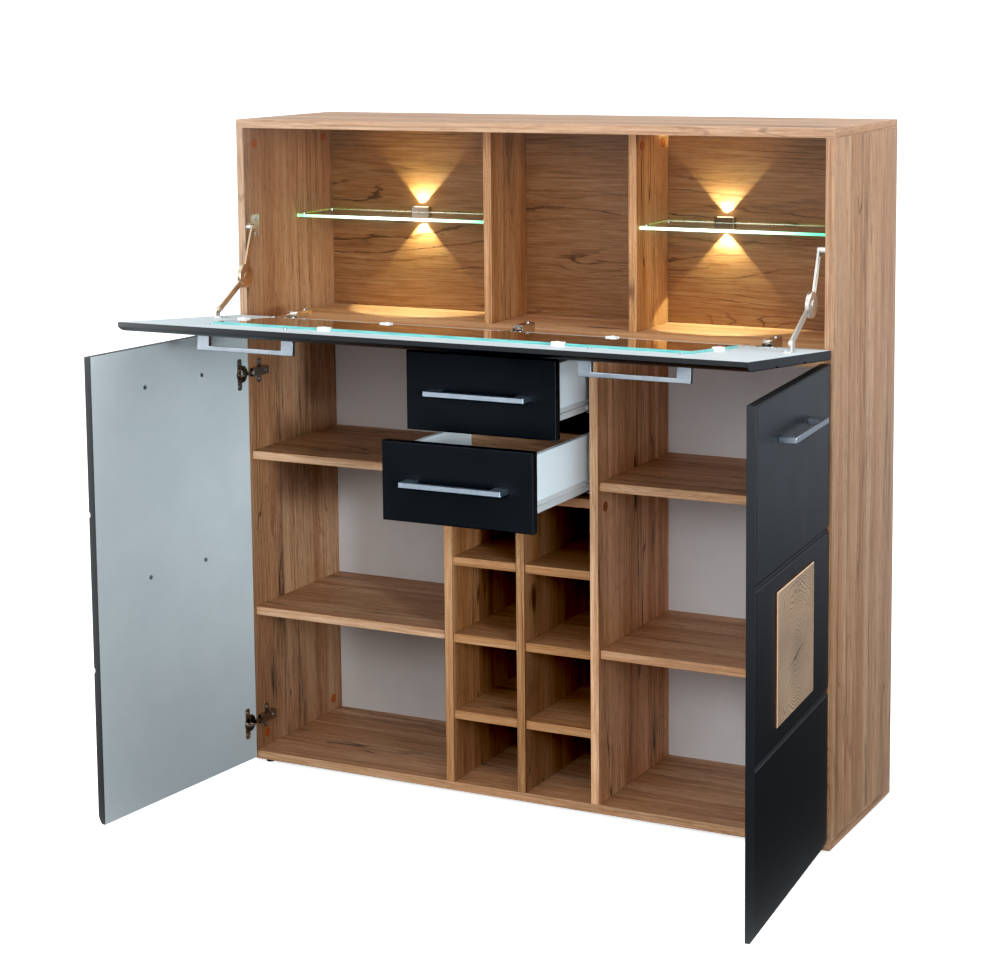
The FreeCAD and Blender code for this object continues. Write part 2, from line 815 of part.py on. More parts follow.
def mounting_plate(front, mount, roof, room_z):
    """The cross plate on the carcass, with a post inside the arm, and all its screws."""
    seat = mount + plate_t
    base = block((mount, seat), (front + plate_front, front + plate_back),
                 (-arm_w / 2, arm_w / 2))
    line = front + plate_wing_line
    wing = block((mount, seat), (line - plate_wing_w / 2, line + plate_wing_w / 2),
                 (-plate_wing_l / 2, plate_wing_l / 2))
    upright = [edge for edge in wing.Edges if not near(edge.Vertexes[0].X, edge.Vertexes[1].X)]
    wing = wing.makeFillet(plate_wing_round, upright)
    post_y = (front + plate_front + arm_wall + arm_front, front + arm_back - arm_front)
    post_z = room_z - plate_post_play
    post = block((mount, roof - plate_post_play), post_y, (-post_z, post_z))
    solids = [fused([base, wing, post])]
    for side in (-1, 1):
        place = V(seat, line, side * plate_screw_span / 2)
        solids.append(rod(arm_screw_r, place, V(1, 0, 0), arm_screw_h))
    place = V(roof + arm_wall, front + arm_screw_line, 0)
    solids.append(rod(arm_screw_r, place, V(1, 0, 0), arm_screw_h))
    return solids


def door_hinge_cups():
    solids = []
    for height in door_hinge_heights:
        for piece in hinge_cup(door_bore_d, door_pin_depth, door_pin_edge):
            solids.append(door_hinge_placed(piece, height))
    return solids


def door_hinge_arms():
    """The arms on the right side panel."""
    solids = []
    mount = door_pivot.x - inner_w
    for height in door_hinge_heights:
        for piece in hinge_arm(door_pin_depth, door_pin_edge, mount):
            solids.append(door_hinge_placed(piece, height))
    return solids


def flap_hinge_cups():
    solids = []
    for x in flap_hinge_places():
        for piece in hinge_cup(flap_bore_d, flap_pin_depth, flap_pin_edge):
            solids.append(flap_hinge_placed(piece, x))
    return solids


def flap_hinge_arms():
    """The arms on the bar floor."""
    solids = []
    mount = bar_top_z - flap_pivot.z
    for x in flap_hinge_places():
        for piece in hinge_arm(flap_pin_depth, flap_pin_edge, mount):
            solids.append(flap_hinge_placed(piece, x))
    return solids


# Folding stays, on the right. Places are worked out in the YZ plane.

def stay_foot_pivot(open_deg):
    """Where the flap carries the lower arm's pivot when it is open by an angle."""
    arm_y = face_y + stay_foot_h - flap_pivot.y
    arm_z = flap_z + stay_foot_reach - flap_pivot.z
    angle = math.radians(open_deg)
    y = flap_pivot.y + arm_y * math.cos(angle) - arm_z * math.sin(angle)
    z = flap_pivot.z + arm_y * math.sin(angle) + arm_z * math.cos(angle)
    return V(0, y, z)


def stay_bracket_pivot():
    return V(0, stay_pivot_setback, bar_top_z + stay_pivot_up)


def stay_knee(open_deg):
    """Where the two arms meet: the crossing of their circles that lies towards the back."""
    top = stay_bracket_pivot()
    line = stay_foot_pivot(open_deg) - top
    span = line.Length
    along = (stay_upper_l ** 2 - stay_lower_l ** 2 + span ** 2) / (2 * span)
    aside = math.sqrt(stay_upper_l ** 2 - along ** 2)
    unit = line / span
    return top + unit * along + V(0, -unit.z, unit.y) * aside


def stay_arm(start, end, inset, disc_at, hub_side):
    """A pressed arm between two pivots, with the knee's disc at one of them."""
    x = inner_w - inset - stay_arm_t
    line = end - start
    length = line.Length
    half = stay_arm_w / 2
    strip = block((x, x + stay_arm_t), (-half, half), (0, length))
    ends = [rod(half, V(x, 0, z), V(1, 0, 0), stay_arm_t) for z in (0, length)]
    arm = fused([strip] + ends)
    groove_x = x if hub_side < 0 else x + stay_arm_t - stay_groove_d
    groove_z = (stay_groove_end, length - stay_groove_end)
    groove = block((groove_x, groove_x + stay_groove_d),
                   (-stay_groove_w / 2, stay_groove_w / 2), groove_z)
    disc_z = length if disc_at == "end" else 0
    disc = rod(stay_disc_r, V(x, 0, disc_z), V(1, 0, 0), stay_arm_t)
    outer_x = x if hub_side < 0 else x + stay_arm_t
    rim = edges_where(disc, lambda end_point: near(end_point.X, outer_x))
    disc = disc.makeChamfer(stay_disc_edge, rim)
    hub = rod(stay_hub_r, V(outer_x, 0, disc_z), V(hub_side, 0, 0), stay_hub_t)
    arm = fused([arm.cut(groove), disc, hub])
    hole_z = 0 if disc_at == "end" else length
    arm = arm.cut(rod(stay_pin_r + pin_running_play, V(x - overrun, 0, hole_z), V(1, 0, 0),
                      stay_arm_t + 2 * overrun))
    angle = math.degrees(math.atan2(-line.y, line.z))
    arm.rotate(V(0, 0, 0), V(1, 0, 0), angle)
    return moved(arm, 0, start.y, start.z)


def stay_upper_arm():
    """From the bracket's pivot down to the knee."""
    return stay_arm(stay_bracket_pivot(), stay_knee(flap_open_deg), stay_inset, "end", 1)


def stay_lower_arm():
    """From the knee to the pivot on the flap."""
    knee = stay_knee(flap_open_deg)
    return stay_arm(knee, stay_foot_pivot(flap_open_deg), stay_lower_inset, "start", -1)


def stay_pin(place, from_inset, arm_inset):
    """A pin along X that starts in its carrier and ends in a head past the arm."""
    arm_x = inner_w - arm_inset - stay_arm_t
    start = V(inner_w - from_inset, place.y, place.z)
    length = start.x - arm_x + stay_side_play
    head = rod(stay_pin_head_r, V(start.x - length, place.y, place.z), V(-1, 0, 0),
               stay_pin_head_t)
    return fused([rod(stay_pin_r, start, V(-1, 0, 0), length), head])


def stay_bracket():
    """The plate on the side panel, its ear with the pivot pin, and two screws."""
    pivot = stay_bracket_pivot()
    boss_l = stay_inset - stay_side_play
    plate = block((inner_w - stay_bracket_t, inner_w), (stay_bracket_y0, stay_bracket_y1),
                  (pivot.z - stay_bracket_h / 2, pivot.z + stay_bracket_h / 2))
    corners = [edge for edge in plate.Edges if not near(edge.Vertexes[0].X, edge.Vertexes[1].X)]
    plate = plate.makeFillet(stay_bracket_round, corners)
    ear = block((inner_w - stay_bracket_t, inner_w), (pivot.y, stay_bracket_y0 + overrun),
                (pivot.z - stay_bracket_arm_h / 2, pivot.z + stay_bracket_arm_h / 2))
    boss = rod(stay_boss_r, V(inner_w, pivot.y, pivot.z), V(-1, 0, 0), boss_l)
    pin = stay_pin(pivot, 0, stay_inset)
    mid_y = (stay_bracket_y0 + stay_bracket_y1) / 2
    screws = []
    for side in (-1, 1):
        place = V(inner_w - stay_bracket_t, mid_y, pivot.z + side * stay_bracket_screw_span / 2)
        screws.append(rod(stay_screw_r, place, V(-1, 0, 0), stay_screw_h))
    return [fused([plate, ear, boss, pin])] + screws


def stay_foot():
    """The foot on the closed flap: a plate, an upright ear, the pin and two screws."""
    pivot = stay_foot_pivot(0)
    ear_inset = stay_lower_inset - stay_side_play - stay_foot_ear_t
    ear_x = (inner_w - ear_inset - stay_foot_ear_t, inner_w - ear_inset)
    z = (pivot.z - stay_foot_l / 2, pivot.z + stay_foot_l / 2)
    plate_x = (ear_x[0] - stay_foot_w, ear_x[1])
    plate = block(plate_x, (face_y, face_y + stay_bracket_t), z)
    corners = [edge for edge in plate.Edges if not near(edge.Vertexes[0].Y, edge.Vertexes[1].Y)]
    plate = plate.makeFillet(stay_foot_round, corners)
    half_ear = stay_boss_r
    ear = block(ear_x, (face_y, pivot.y), (pivot.z - half_ear, pivot.z + half_ear))
    eye = rod(half_ear, V(ear_x[0], pivot.y, pivot.z), V(1, 0, 0), stay_foot_ear_t)
    pin = stay_pin(pivot, ear_inset, stay_lower_inset)
    screws = []
    for side in (-1, 1):
        place = V(plate_x[0] + stay_foot_w / 2, face_y + stay_bracket_t,
                  pivot.z + side * stay_foot_screw_span / 2)
        screws.append(rod(stay_screw_r, place, V(0, 1, 0), stay_screw_h))
    return [fused([plate, ear, eye, pin])] + screws


# Drawers, drawn closed. low is the height of a front's lower edge.

def drawer_front(low):
    x = (-drawer_half, drawer_half)
    panel = front_board(x, (low, low + drawer_front_h), drawer_edge_round)
    for screw_x, screw_z in handle_screw_places(0, low + drawer_front_h / 2):
        panel = panel.cut(screw_hole(screw_x, screw_z))
    return panel


def drawer_handle(low):
    z = low + drawer_front_h / 2
    return [bar_handle(0, z)] + screw_pair(0, z, outer_y)


def side_bottom(low):
    """Height of a drawer side's lower edge."""
    return low + drawer_side_up


def drawer_sides(low):
    """Both sides of a drawer, with softened upper edges."""
    z = side_bottom(low)
    box_x = (side_x - drawer_side_t, side_x)
    side = block(box_x, (face_y, face_y + drawer_side_l), (z, z + drawer_side_h))
    top = edges_where(side, lambda end: near(end.Z, z + drawer_side_h))
    long_top = [edge for edge in top if near(edge.Vertexes[0].X, edge.Vertexes[1].X)]
    return both_sides([side.makeFillet(drawer_side_round, long_top)])


def drawer_back(low):
    z = side_bottom(low)
    x = side_x - drawer_side_t
    end_y = face_y + drawer_side_l
    high = z + drawer_side_h - drawer_back_drop
    return block((-x, x), (end_y - drawer_side_t, end_y), (z, high))


def drawer_bottom(low):
    z = side_bottom(low) + drawer_bottom_up
    x = side_x - drawer_side_t
    end_y = face_y + drawer_side_l - drawer_side_t
    return block((-x, x), (face_y, end_y), (z, z + drawer_bottom_t))


def drawer_rails(low):
    """The rails under a drawer's sides, each with its rear roller."""
    z = side_bottom(low)
    y = (face_y + overrun, face_y + drawer_side_l)
    web_x = (side_x, side_x + rail_t)
    web = block(web_x, y, (z - rail_t, z + rail_h))
    foot = block((side_x - drawer_side_t, side_x + rail_t), y, (z - rail_t, z))
    lip = block((side_x, side_x + rail_t + rail_lip_w), y,
                (z + rail_lip_up, z + rail_lip_up + rail_t))
    roller_z = z - channel_low + channel_t + roller_gap + roller_r
    roller_y = y[1] - rear_roller_inset
    roller_x = divider_in - channel_t - roller_gap - roller_w
    roller = rod(roller_r, V(roller_x, roller_y, roller_z), V(1, 0, 0), roller_w)
    axle = rod(roller_pin_r, V(side_x, roller_y, roller_z), V(1, 0, 0), roller_x - side_x)
    return both_sides([fused([web, foot, lip, axle, roller])])


def drawer_channels(low):
    """The channels on the dividers that a drawer's rails roll in, each with its front roller."""
    z = side_bottom(low)
    y = (channel_front, back_y - channel_rear_gap)
    web = block((divider_in - channel_t, divider_in), y, (z - channel_low, z + channel_high))
    parts = [web]
    for lip_z in (z - channel_low, z + channel_high - channel_t):
        parts.append(block((divider_in - channel_t - channel_w, divider_in), y,
                           (lip_z, lip_z + channel_t)))
    roller_z = z + rail_lip_up - roller_gap - roller_r
    roller_x = side_x + rail_t + roller_gap
    room = block((roller_x, divider_in - channel_t),
                 (front_roller_y - roller_r - roller_gap, front_roller_y + roller_r + roller_gap),
                 (z - channel_low, roller_z))
    channel = fused(parts).cut(room)
    roller = rod(roller_r, V(roller_x, front_roller_y, roller_z), V(1, 0, 0), roller_w)
    axle = rod(roller_pin_r, V(roller_x, front_roller_y, roller_z), V(1, 0, 0),
               divider_in - roller_x)
    return both_sides([fused([channel, axle, roller])])


# The whole cabinet, as named groups of solids where they rest

def carcass_nodes():
    side = side_panel()
    upper = bar_divider()
    lower = lower_divider()
    bay_x = (divider_out, inner_w)
    bay_z = (base_z, bar_floor_z)
    bay_back = back_board(bay_x, bay_z)
    shelves = bay_shelves()
    pins = [pin_solid(place) for place in shelf_pin_places() + peg_places()]
    return {
        "top_panel": [top_panel()],
        "bottom_panel": [bottom_panel()],
        "left_side_panel": [mirrored(side)],
        "right_side_panel": [side],
        "bar_floor": [bar_floor()],
        "bar_left_divider": [mirrored(upper)],
        "bar_right_divider": [upper],
        "bar_back_panel": [back_board((-inner_w, inner_w), (bar_top_z, ceiling_z))],
        "lower_left_divider": [mirrored(lower)],
        "lower_right_divider": [lower],
        "left_bay_back": [mirrored(bay_back)],
        "right_bay_back": [bay_back],
        "rack_back": [back_board((-divider_in, divider_in), bay_z)],
        "drawer_base_shelf": [drawer_base_shelf()],
        "rack_divider": [rack_divider()],
        "rack_shelves": rack_shelves(),
        "left_bay_shelves": [mirrored(shelf) for shelf in shelves],
        "right_bay_shelves": shelves,
        "shelf_pins": both_sides(pins),
        "cam_caps": cam_caps(),
        "feet": feet(),
    }


def glass_nodes():
    glass = glass_shelf()
    left_body, left_lenses = clip_lamp(-divider_out - left_lamp_off)
    right_body, right_lenses = clip_lamp(divider_out + right_lamp_off)
    return {
        "left_glass_shelf": [mirrored(glass)],
        "right_glass_shelf": [glass],
        "clip_lamps": left_body + right_body,
        "clip_lamp_lenses": left_lenses + right_lenses,
    }


def door_nodes():
    nodes = {
        "door_panel": [door_panel()],
        "door_handle": door_handle(),
        "door_inlay": door_inlay(),
        "door_hinge_cups": door_hinge_cups(),
    }
    placed = {}
    for name, solids in nodes.items():
        opened = [door_opened(solid) for solid in solids]
        placed["right_" + name] = opened
        placed["left_" + name] = [mirrored(solid) for solid in opened]
    arms = door_hinge_arms()
    placed["right_door_hinge_arms"] = arms
    placed["left_door_hinge_arms"] = [mirrored(solid) for solid in arms]
    return placed


def flap_nodes():
    nodes = {
        "flap_panel": [flap_panel()],
        "flap_handles": flap_handles(),
        "flap_glass": [flap_glass()],
        "glass_clips": glass_clips(),
        "flap_hinge_cups": flap_hinge_cups(),
        "stay_feet": both_sides(stay_foot()),
    }
    placed = {name: [flap_opened(solid) for solid in solids] for name, solids in nodes.items()}
    placed["flap_hinge_arms"] = flap_hinge_arms()
    return placed


def stay_nodes():
    upper = stay_upper_arm()
    lower = stay_lower_arm()
    return {
        "stay_brackets": both_sides(stay_bracket()),
        "left_upper_stay_arm": [mirrored(upper)],
        "right_upper_stay_arm": [upper],
        "left_lower_stay_arm": [mirrored(lower)],
        "right_lower_stay_arm": [lower],
    }


def drawer_nodes():
    placed = {"drawer_channels": []}
    lows = {
        "lower_drawer": (lower_drawer_z, lower_drawer_out),
        "upper_drawer": (upper_drawer_z, upper_drawer_out),
    }
    for name, (low, out) in lows.items():
        pieces = {
            "front": [drawer_front(low)],
            "handle": drawer_handle(low),
            "sides": drawer_sides(low),
            "back": [drawer_back(low)],
            "bottom": [drawer_bottom(low)],
            "rails": drawer_rails(low),
        }
        for piece, solids in pieces.items():
            placed[name + "_" + piece] = [moved(solid, 0, -out, 0) for solid in solids]
        placed["drawer_channels"].extend(drawer_channels(low))
    return placed


def main():
    os.makedirs("parts", exist_ok=True)
    nodes = {}
    for group in (carcass_nodes, glass_nodes, door_nodes, flap_nodes, stay_nodes, drawer_nodes):
        nodes.update(group())
    everything = Part.makeCompound([solid for solids in nodes.values() for solid in solids])
    reach = everything.BoundBox
    middle = (reach.YMin + reach.YMax) / 2
    print("open cabinet", round(reach.XLength, 2), round(reach.YLength, 2), round(reach.ZLength, 2))
    print("moved along Y by", round(-middle, 4))
    knee_open = stay_knee(flap_open_deg)
    knee_shut = stay_knee(0)
    print("knee open", knee_open, "shut", knee_shut)
    for name, solids in nodes.items():
        placed = [moved(solid, 0, -middle, 0) for solid in solids]
        shape = placed[0] if len(placed) == 1 else Part.makeCompound(placed)
        shape.exportStep(os.path.join("parts", name + ".step"))
    print(len(nodes), "nodes")


main()
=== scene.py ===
# %% [markdown]
# # The looks of a bar cabinet
# The cabinet is an oak-decor carcass with satin black fronts: a drop-down flap over a lit bar,
# two doors with end-grain inlays, two drawers and a bottle rack. Every board, hinge and handle
# already exists at its real size in the imported model, so this script gives each one its finish
# and adds what only shows as a look: light, edges and small details. It starts by loading the
# imported model.

# %% Load the frame
import json
import math

import bmesh
import bpy
from mathutils import Matrix, Vector

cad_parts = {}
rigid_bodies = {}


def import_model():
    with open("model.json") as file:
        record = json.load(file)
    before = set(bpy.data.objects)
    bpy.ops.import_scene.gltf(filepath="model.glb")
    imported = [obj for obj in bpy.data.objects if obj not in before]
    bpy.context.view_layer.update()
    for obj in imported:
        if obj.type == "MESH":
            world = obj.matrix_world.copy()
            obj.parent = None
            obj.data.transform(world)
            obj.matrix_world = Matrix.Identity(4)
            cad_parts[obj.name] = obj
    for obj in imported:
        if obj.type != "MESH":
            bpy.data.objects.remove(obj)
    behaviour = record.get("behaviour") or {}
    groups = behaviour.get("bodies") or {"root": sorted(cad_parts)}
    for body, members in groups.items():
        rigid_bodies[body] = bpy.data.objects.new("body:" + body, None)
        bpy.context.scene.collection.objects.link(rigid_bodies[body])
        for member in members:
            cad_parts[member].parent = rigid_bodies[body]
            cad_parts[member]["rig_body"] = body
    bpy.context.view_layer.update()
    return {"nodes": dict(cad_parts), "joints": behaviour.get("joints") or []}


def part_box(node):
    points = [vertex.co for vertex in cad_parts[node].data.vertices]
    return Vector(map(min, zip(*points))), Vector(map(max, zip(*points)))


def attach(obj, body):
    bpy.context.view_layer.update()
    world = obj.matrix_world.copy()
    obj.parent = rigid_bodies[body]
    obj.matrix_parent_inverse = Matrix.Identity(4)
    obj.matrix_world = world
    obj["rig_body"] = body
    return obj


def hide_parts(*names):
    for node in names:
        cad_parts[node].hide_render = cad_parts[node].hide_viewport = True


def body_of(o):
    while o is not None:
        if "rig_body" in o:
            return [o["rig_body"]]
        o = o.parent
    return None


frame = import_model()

nodes = frame["nodes"]

# %% [markdown]
# ## Softened edges
# A real board or lacquered front has no knife-sharp edge: a thin rounding catches the light and
# draws each piece's outline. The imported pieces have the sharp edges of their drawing, and their
# meshes stay as they are, so each piece with an edge that shows gets a copy. In the copy, equal
# points are merged, flat neighbours are made one face, and the long outer edges are bevelled. It
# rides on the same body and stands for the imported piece. Only the new strips are shaded smooth.

# %% Rounded copies
shown = dict(nodes)
SCREW_WIDEST = 0.009                # no loose part but a screw is smaller
SAME_POINT = 1e-5
FLAT_WITHIN = math.radians(1)
SHARP_FROM = math.radians(30)
BOARD_EDGE, FITTING_EDGE = 0.012, 0.003     # shorter edges stay sharp


def placed(name, data):
    """A new object in the scene."""
    thing = bpy.data.objects.new(name, data)
    bpy.context.scene.collection.objects.link(thing)
    return thing


def mark_screws(form):
    """Marks the small loose parts of a piece, which are its screws, with 1 and the rest with 0."""
    mark = form.verts.layers.float.new("screw")
    waiting = set(form.verts)
    while waiting:
        part, edge = set(), {waiting.pop()}
        while edge:
            part |= edge
            edge = {link.other_vert(v) for v in edge for link in v.link_edges} - part
        waiting -= part
        spans = [max(v.co[i] for v in part) - min(v.co[i] for v in part) for i in range(3)]
        for v in part:
            v[mark] = 1.0 if max(spans) < SCREW_WIDEST else 0.0


def soften(name, radius, steps, shortest=BOARD_EDGE):
    """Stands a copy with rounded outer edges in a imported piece's place."""
    form = bmesh.new()
    form.from_mesh(nodes[name].data)
    bmesh.ops.remove_doubles(form, verts=form.verts, dist=SAME_POINT)
    mark_screws(form)
    bmesh.ops.dissolve_limit(form, angle_limit=FLAT_WITHIN, verts=form.verts, edges=form.edges)
    long = [e for e in form.edges if e.is_convex and e.calc_length() > shortest
            and e.calc_face_angle() > SHARP_FROM]
    made = bmesh.ops.bevel(form, geom=long, offset=radius, offset_type="OFFSET", segments=steps,
                           profile=0.5, affect="EDGES", clamp_overlap=True, material=-1)
    for face in form.faces:
        face.smooth = False
    for face in made["faces"]:
        face.smooth = True
    mesh = bpy.data.meshes.new(name + "_soft")
    form.to_mesh(mesh)
    form.free()
    piece = placed(name + "_soft", mesh)
    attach(piece, body_of(nodes[name])[0])
    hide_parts(name)
    shown[name] = piece
    return len(long)


UPRIGHTS = ["left_side_panel", "right_side_panel", "bar_left_divider", "bar_right_divider",
            "lower_left_divider", "lower_right_divider", "rack_divider"]
LYING_BOARDS = ["top_panel", "bottom_panel", "bar_floor", "drawer_base_shelf", "rack_shelves",
                "left_bay_shelves", "right_bay_shelves"]
FRONTS = {"left_door": "left_door_panel", "right_door": "right_door_panel", "flap": "flap_panel",
          "upper_drawer": "upper_drawer_front", "lower_drawer": "lower_drawer_front"}
HANDLES = ["left_door_handle", "right_door_handle", "flap_handles", "upper_drawer_handle",
           "lower_drawer_handle"]
HINGES = ["left_door_hinge_cups", "left_door_hinge_arms", "right_door_hinge_cups",
          "right_door_hinge_arms", "flap_hinge_cups", "flap_hinge_arms"]
STAY_FITTINGS = ["stay_brackets", "stay_feet"]
STAYS = ["left_upper_stay_arm", "left_lower_stay_arm", "right_upper_stay_arm",
         "right_lower_stay_arm"]
BOARD_ROUND, FRONT_ROUND, HANDLE_ROUND, FITTING_ROUND = 0.0008, 0.0022, 0.0010, 0.0004
for name in UPRIGHTS + LYING_BOARDS + ["upper_drawer_sides", "lower_drawer_sides"]:
    print(name, "edges", soften(name, BOARD_ROUND, 2))
for name in FRONTS.values():
    print(name, "edges", soften(name, FRONT_ROUND, 3))
for name in HANDLES:
    print(name, "edges", soften(name, HANDLE_ROUND, 2, FITTING_EDGE))
for name in HINGES + STAY_FITTINGS + STAYS:
    print(name, "edges", soften(name, FITTING_ROUND, 1, FITTING_EDGE))

# %% [markdown]
# ## Short ways to write a material
# A procedural material is a net of small nodes. Written out one by one, the net hides the idea,
# so a few helpers add a node, fill its inputs and hand back its output. Filling means linking
# what is a socket and setting what is a plain value.

# %% Helpers for shader nodes
def fill(tree, node, inputs):
    """Links or sets the inputs of a node or of the shader."""
    for key, value in inputs.items():
        if isinstance(value, bpy.types.NodeSocket):
            tree.links.new(value, node.inputs[key])
        else:
            node.inputs[key].default_value = value


def add(tree, kind, inputs, **settings):
    """Adds a node, sets its options and fills its inputs."""
    node = tree.nodes.new(kind)
    for name, value in settings.items():
        setattr(node, name, value)
    fill(tree, node, inputs)
    return node


def calc(tree, operation, first, second=0.0, clamp=False):
    """One sum on two numbers."""
    inputs = {0: first, 1: second}
    return add(tree, "ShaderNodeMath", inputs, operation=operation, use_clamp=clamp).outputs[0]


def stretched(tree, vector, scale):
    """A vector with each axis multiplied by its own number."""
    inputs = {0: vector, 1: scale}
    return add(tree, "ShaderNodeVectorMath", inputs, operation="MULTIPLY").outputs[0]


def cloud(tree, vector, scale, detail=2.0, roughness=0.5):
    """A noise node whose features are 1/scale metres long on each axis."""
    inputs = {"Vector": stretched(tree, vector, scale), "Scale": 1.0,
              "Detail": detail, "Roughness": roughness}
    return add(tree, "ShaderNodeTexNoise", inputs)


def offset(tree, vector, scale, reach):
    """A wandering offset, up to about half of reach each way, to bend a pattern with."""
    way = cloud(tree, vector, scale).outputs["Color"]
    way = add(tree, "ShaderNodeVectorMath", {0: way, 1: (0.5, 0.5, 0.5)}, operation="SUBTRACT")
    return stretched(tree, way.outputs[0], reach)


def fade(tree, value, start, end, low=0.0, high=1.0):
    """Goes smoothly from low to high while the value goes from start to end."""
    inputs = {"Value": value, "From Min": start, "From Max": end, "To Min": low, "To Max": high}
    node = add(tree, "ShaderNodeMapRange", inputs, interpolation_type="SMOOTHSTEP")
    return node.outputs["Result"]


def blended(tree, factor, first, second, mode="MIX"):
    """A colour between two colours."""
    inputs = {0: factor, 6: first, 7: second}
    return add(tree, "ShaderNodeMix", inputs, data_type="RGBA", blend_type=mode).outputs[2]


def ramp(tree, factor, stops):
    """A colour read from a row of (place, colour) stops."""
    node = add(tree, "ShaderNodeValToRGB", {0: factor})
    points = node.color_ramp.elements
    while len(points) < len(stops):
        points.new(0.5)
    for point, (place, tint) in zip(points, stops):
        point.position = place
        point.color = tint
    return node.outputs[0]


def srgb(red, green, blue):
    """A colour as a screen shows it, 0 to 255, made linear."""
    values = [v / 255 for v in (red, green, blue)]
    linear = [v / 12.92 if v <= 0.04045 else ((v + 0.055) / 1.055) ** 2.4 for v in values]
    return (*linear, 1.0)


print("a mid wood tone is", [round(v, 3) for v in srgb(186, 148, 108)])

# %% Helpers for node groups and materials
FLOAT, COLOUR, VECTOR = "NodeSocketFloat", "NodeSocketColor", "NodeSocketVector"


def new_group(name, inputs, outputs):
    """An empty node group, the sockets that it starts from, and the node that it ends in."""
    group = bpy.data.node_groups.new(name, "ShaderNodeTree")
    for label, kind in inputs.items():
        group.interface.new_socket(name=label, in_out="INPUT", socket_type=kind)
    for label, kind in outputs.items():
        group.interface.new_socket(name=label, in_out="OUTPUT", socket_type=kind)
    start = group.nodes.new("NodeGroupInput").outputs
    return group, start, group.nodes.new("NodeGroupOutput")


def placed_group(tree, group, inputs):
    """A node group used in a material."""
    return add(tree, "ShaderNodeGroup", inputs, node_tree=group).outputs


def new_material(name):
    """A material with its node tree, its Principled shader and its coordinates."""
    material = bpy.data.materials.new(name)
    material.use_nodes = True
    tree = material.node_tree
    shader = tree.nodes["Principled BSDF"]
    coordinates = tree.nodes.new("ShaderNodeTexCoord").outputs
    return material, tree, shader, coordinates


def bump(tree, shader, height, strength, distance):
    """Lets a height disturb the shader's normal. The distance is in metres."""
    node = add(tree, "ShaderNodeBump", {"Height": height, "Strength": strength,
                                        "Distance": distance})
    tree.links.new(node.outputs["Normal"], shader.inputs["Normal"])


def paint(material, *names):
    """Gives a material to whole pieces, packed ones or the copies that stand for them."""
    for name in names:
        data = shown[name].data
        data.materials.clear()
        data.materials.append(material)


# %% [markdown]
# ## Oak decor
# The boards carry a printed oak decor with a real board's features: stripes of tone along the
# grain, fine fibres, growth lines that close round knots, and thin dark drying cracks. One way
# is a wave texture, but its lines are even and never close. Here the growth lines are contours
# of a noise that is stretched along the grain, like height lines on a map, and a knot is a hill
# on that map, so the lines flow round it by themselves. The group expects the grain along X.

# %% The oak decor as a node group
# How many features a metre holds, along the grain and across it
SWAY, FRAY, KNOTS = (1.3, 5.0, 5.0), (7.0, 26.0, 26.0), (2.6, 5.2, 5.2)
CONTOURS, RAGGED, STRENGTH = (0.8, 6.0, 6.0), (20.0, 120.0, 120.0), (1.8, 12.0, 12.0)
STAVES, STREAKS, FIBRES = (0.35, 17.0, 17.0), (1.3, 64.0, 64.0), (10.0, 380.0, 380.0)
RUDDY, VEINS, TICKS = (0.9, 30.0, 30.0), (0.9, 130.0, 130.0), (42.0, 360.0, 360.0)
SMOKE, SMOKE_EDGE = (2.4, 21.0, 21.0), (18.0, 150.0, 150.0)
SPLITS, SPLIT_PLACES = (1.0, 15.0, 15.0), (1.7, 8.0, 8.0)

SAPWOOD = [(0.13, srgb(140, 100, 71)), (0.22, srgb(168, 127, 96)),
           (0.31, srgb(188, 150, 119)), (0.43, srgb(206, 173, 144))]
RUDDY_TINT, RING_TINT, VEIN_TINT = srgb(166, 118, 86), srgb(92, 60, 38), srgb(116, 80, 56)
TICK_TINT, STAIN_TINT = srgb(98, 66, 46), srgb(106, 84, 66)
KNOT_TINT, CRACK_TINT = srgb(70, 42, 28), srgb(48, 32, 24)
KNOT_CHANCE = 0.55                  # cells of the pattern with a lower draw hold no knot
LINES_PER_METRE = 62.0              # growth lines where nothing bends them
CONTOUR_LINES, HILL_LINES, RAGGED_LINES = 17.0, 6.0, 0.6    # what each noise adds to them


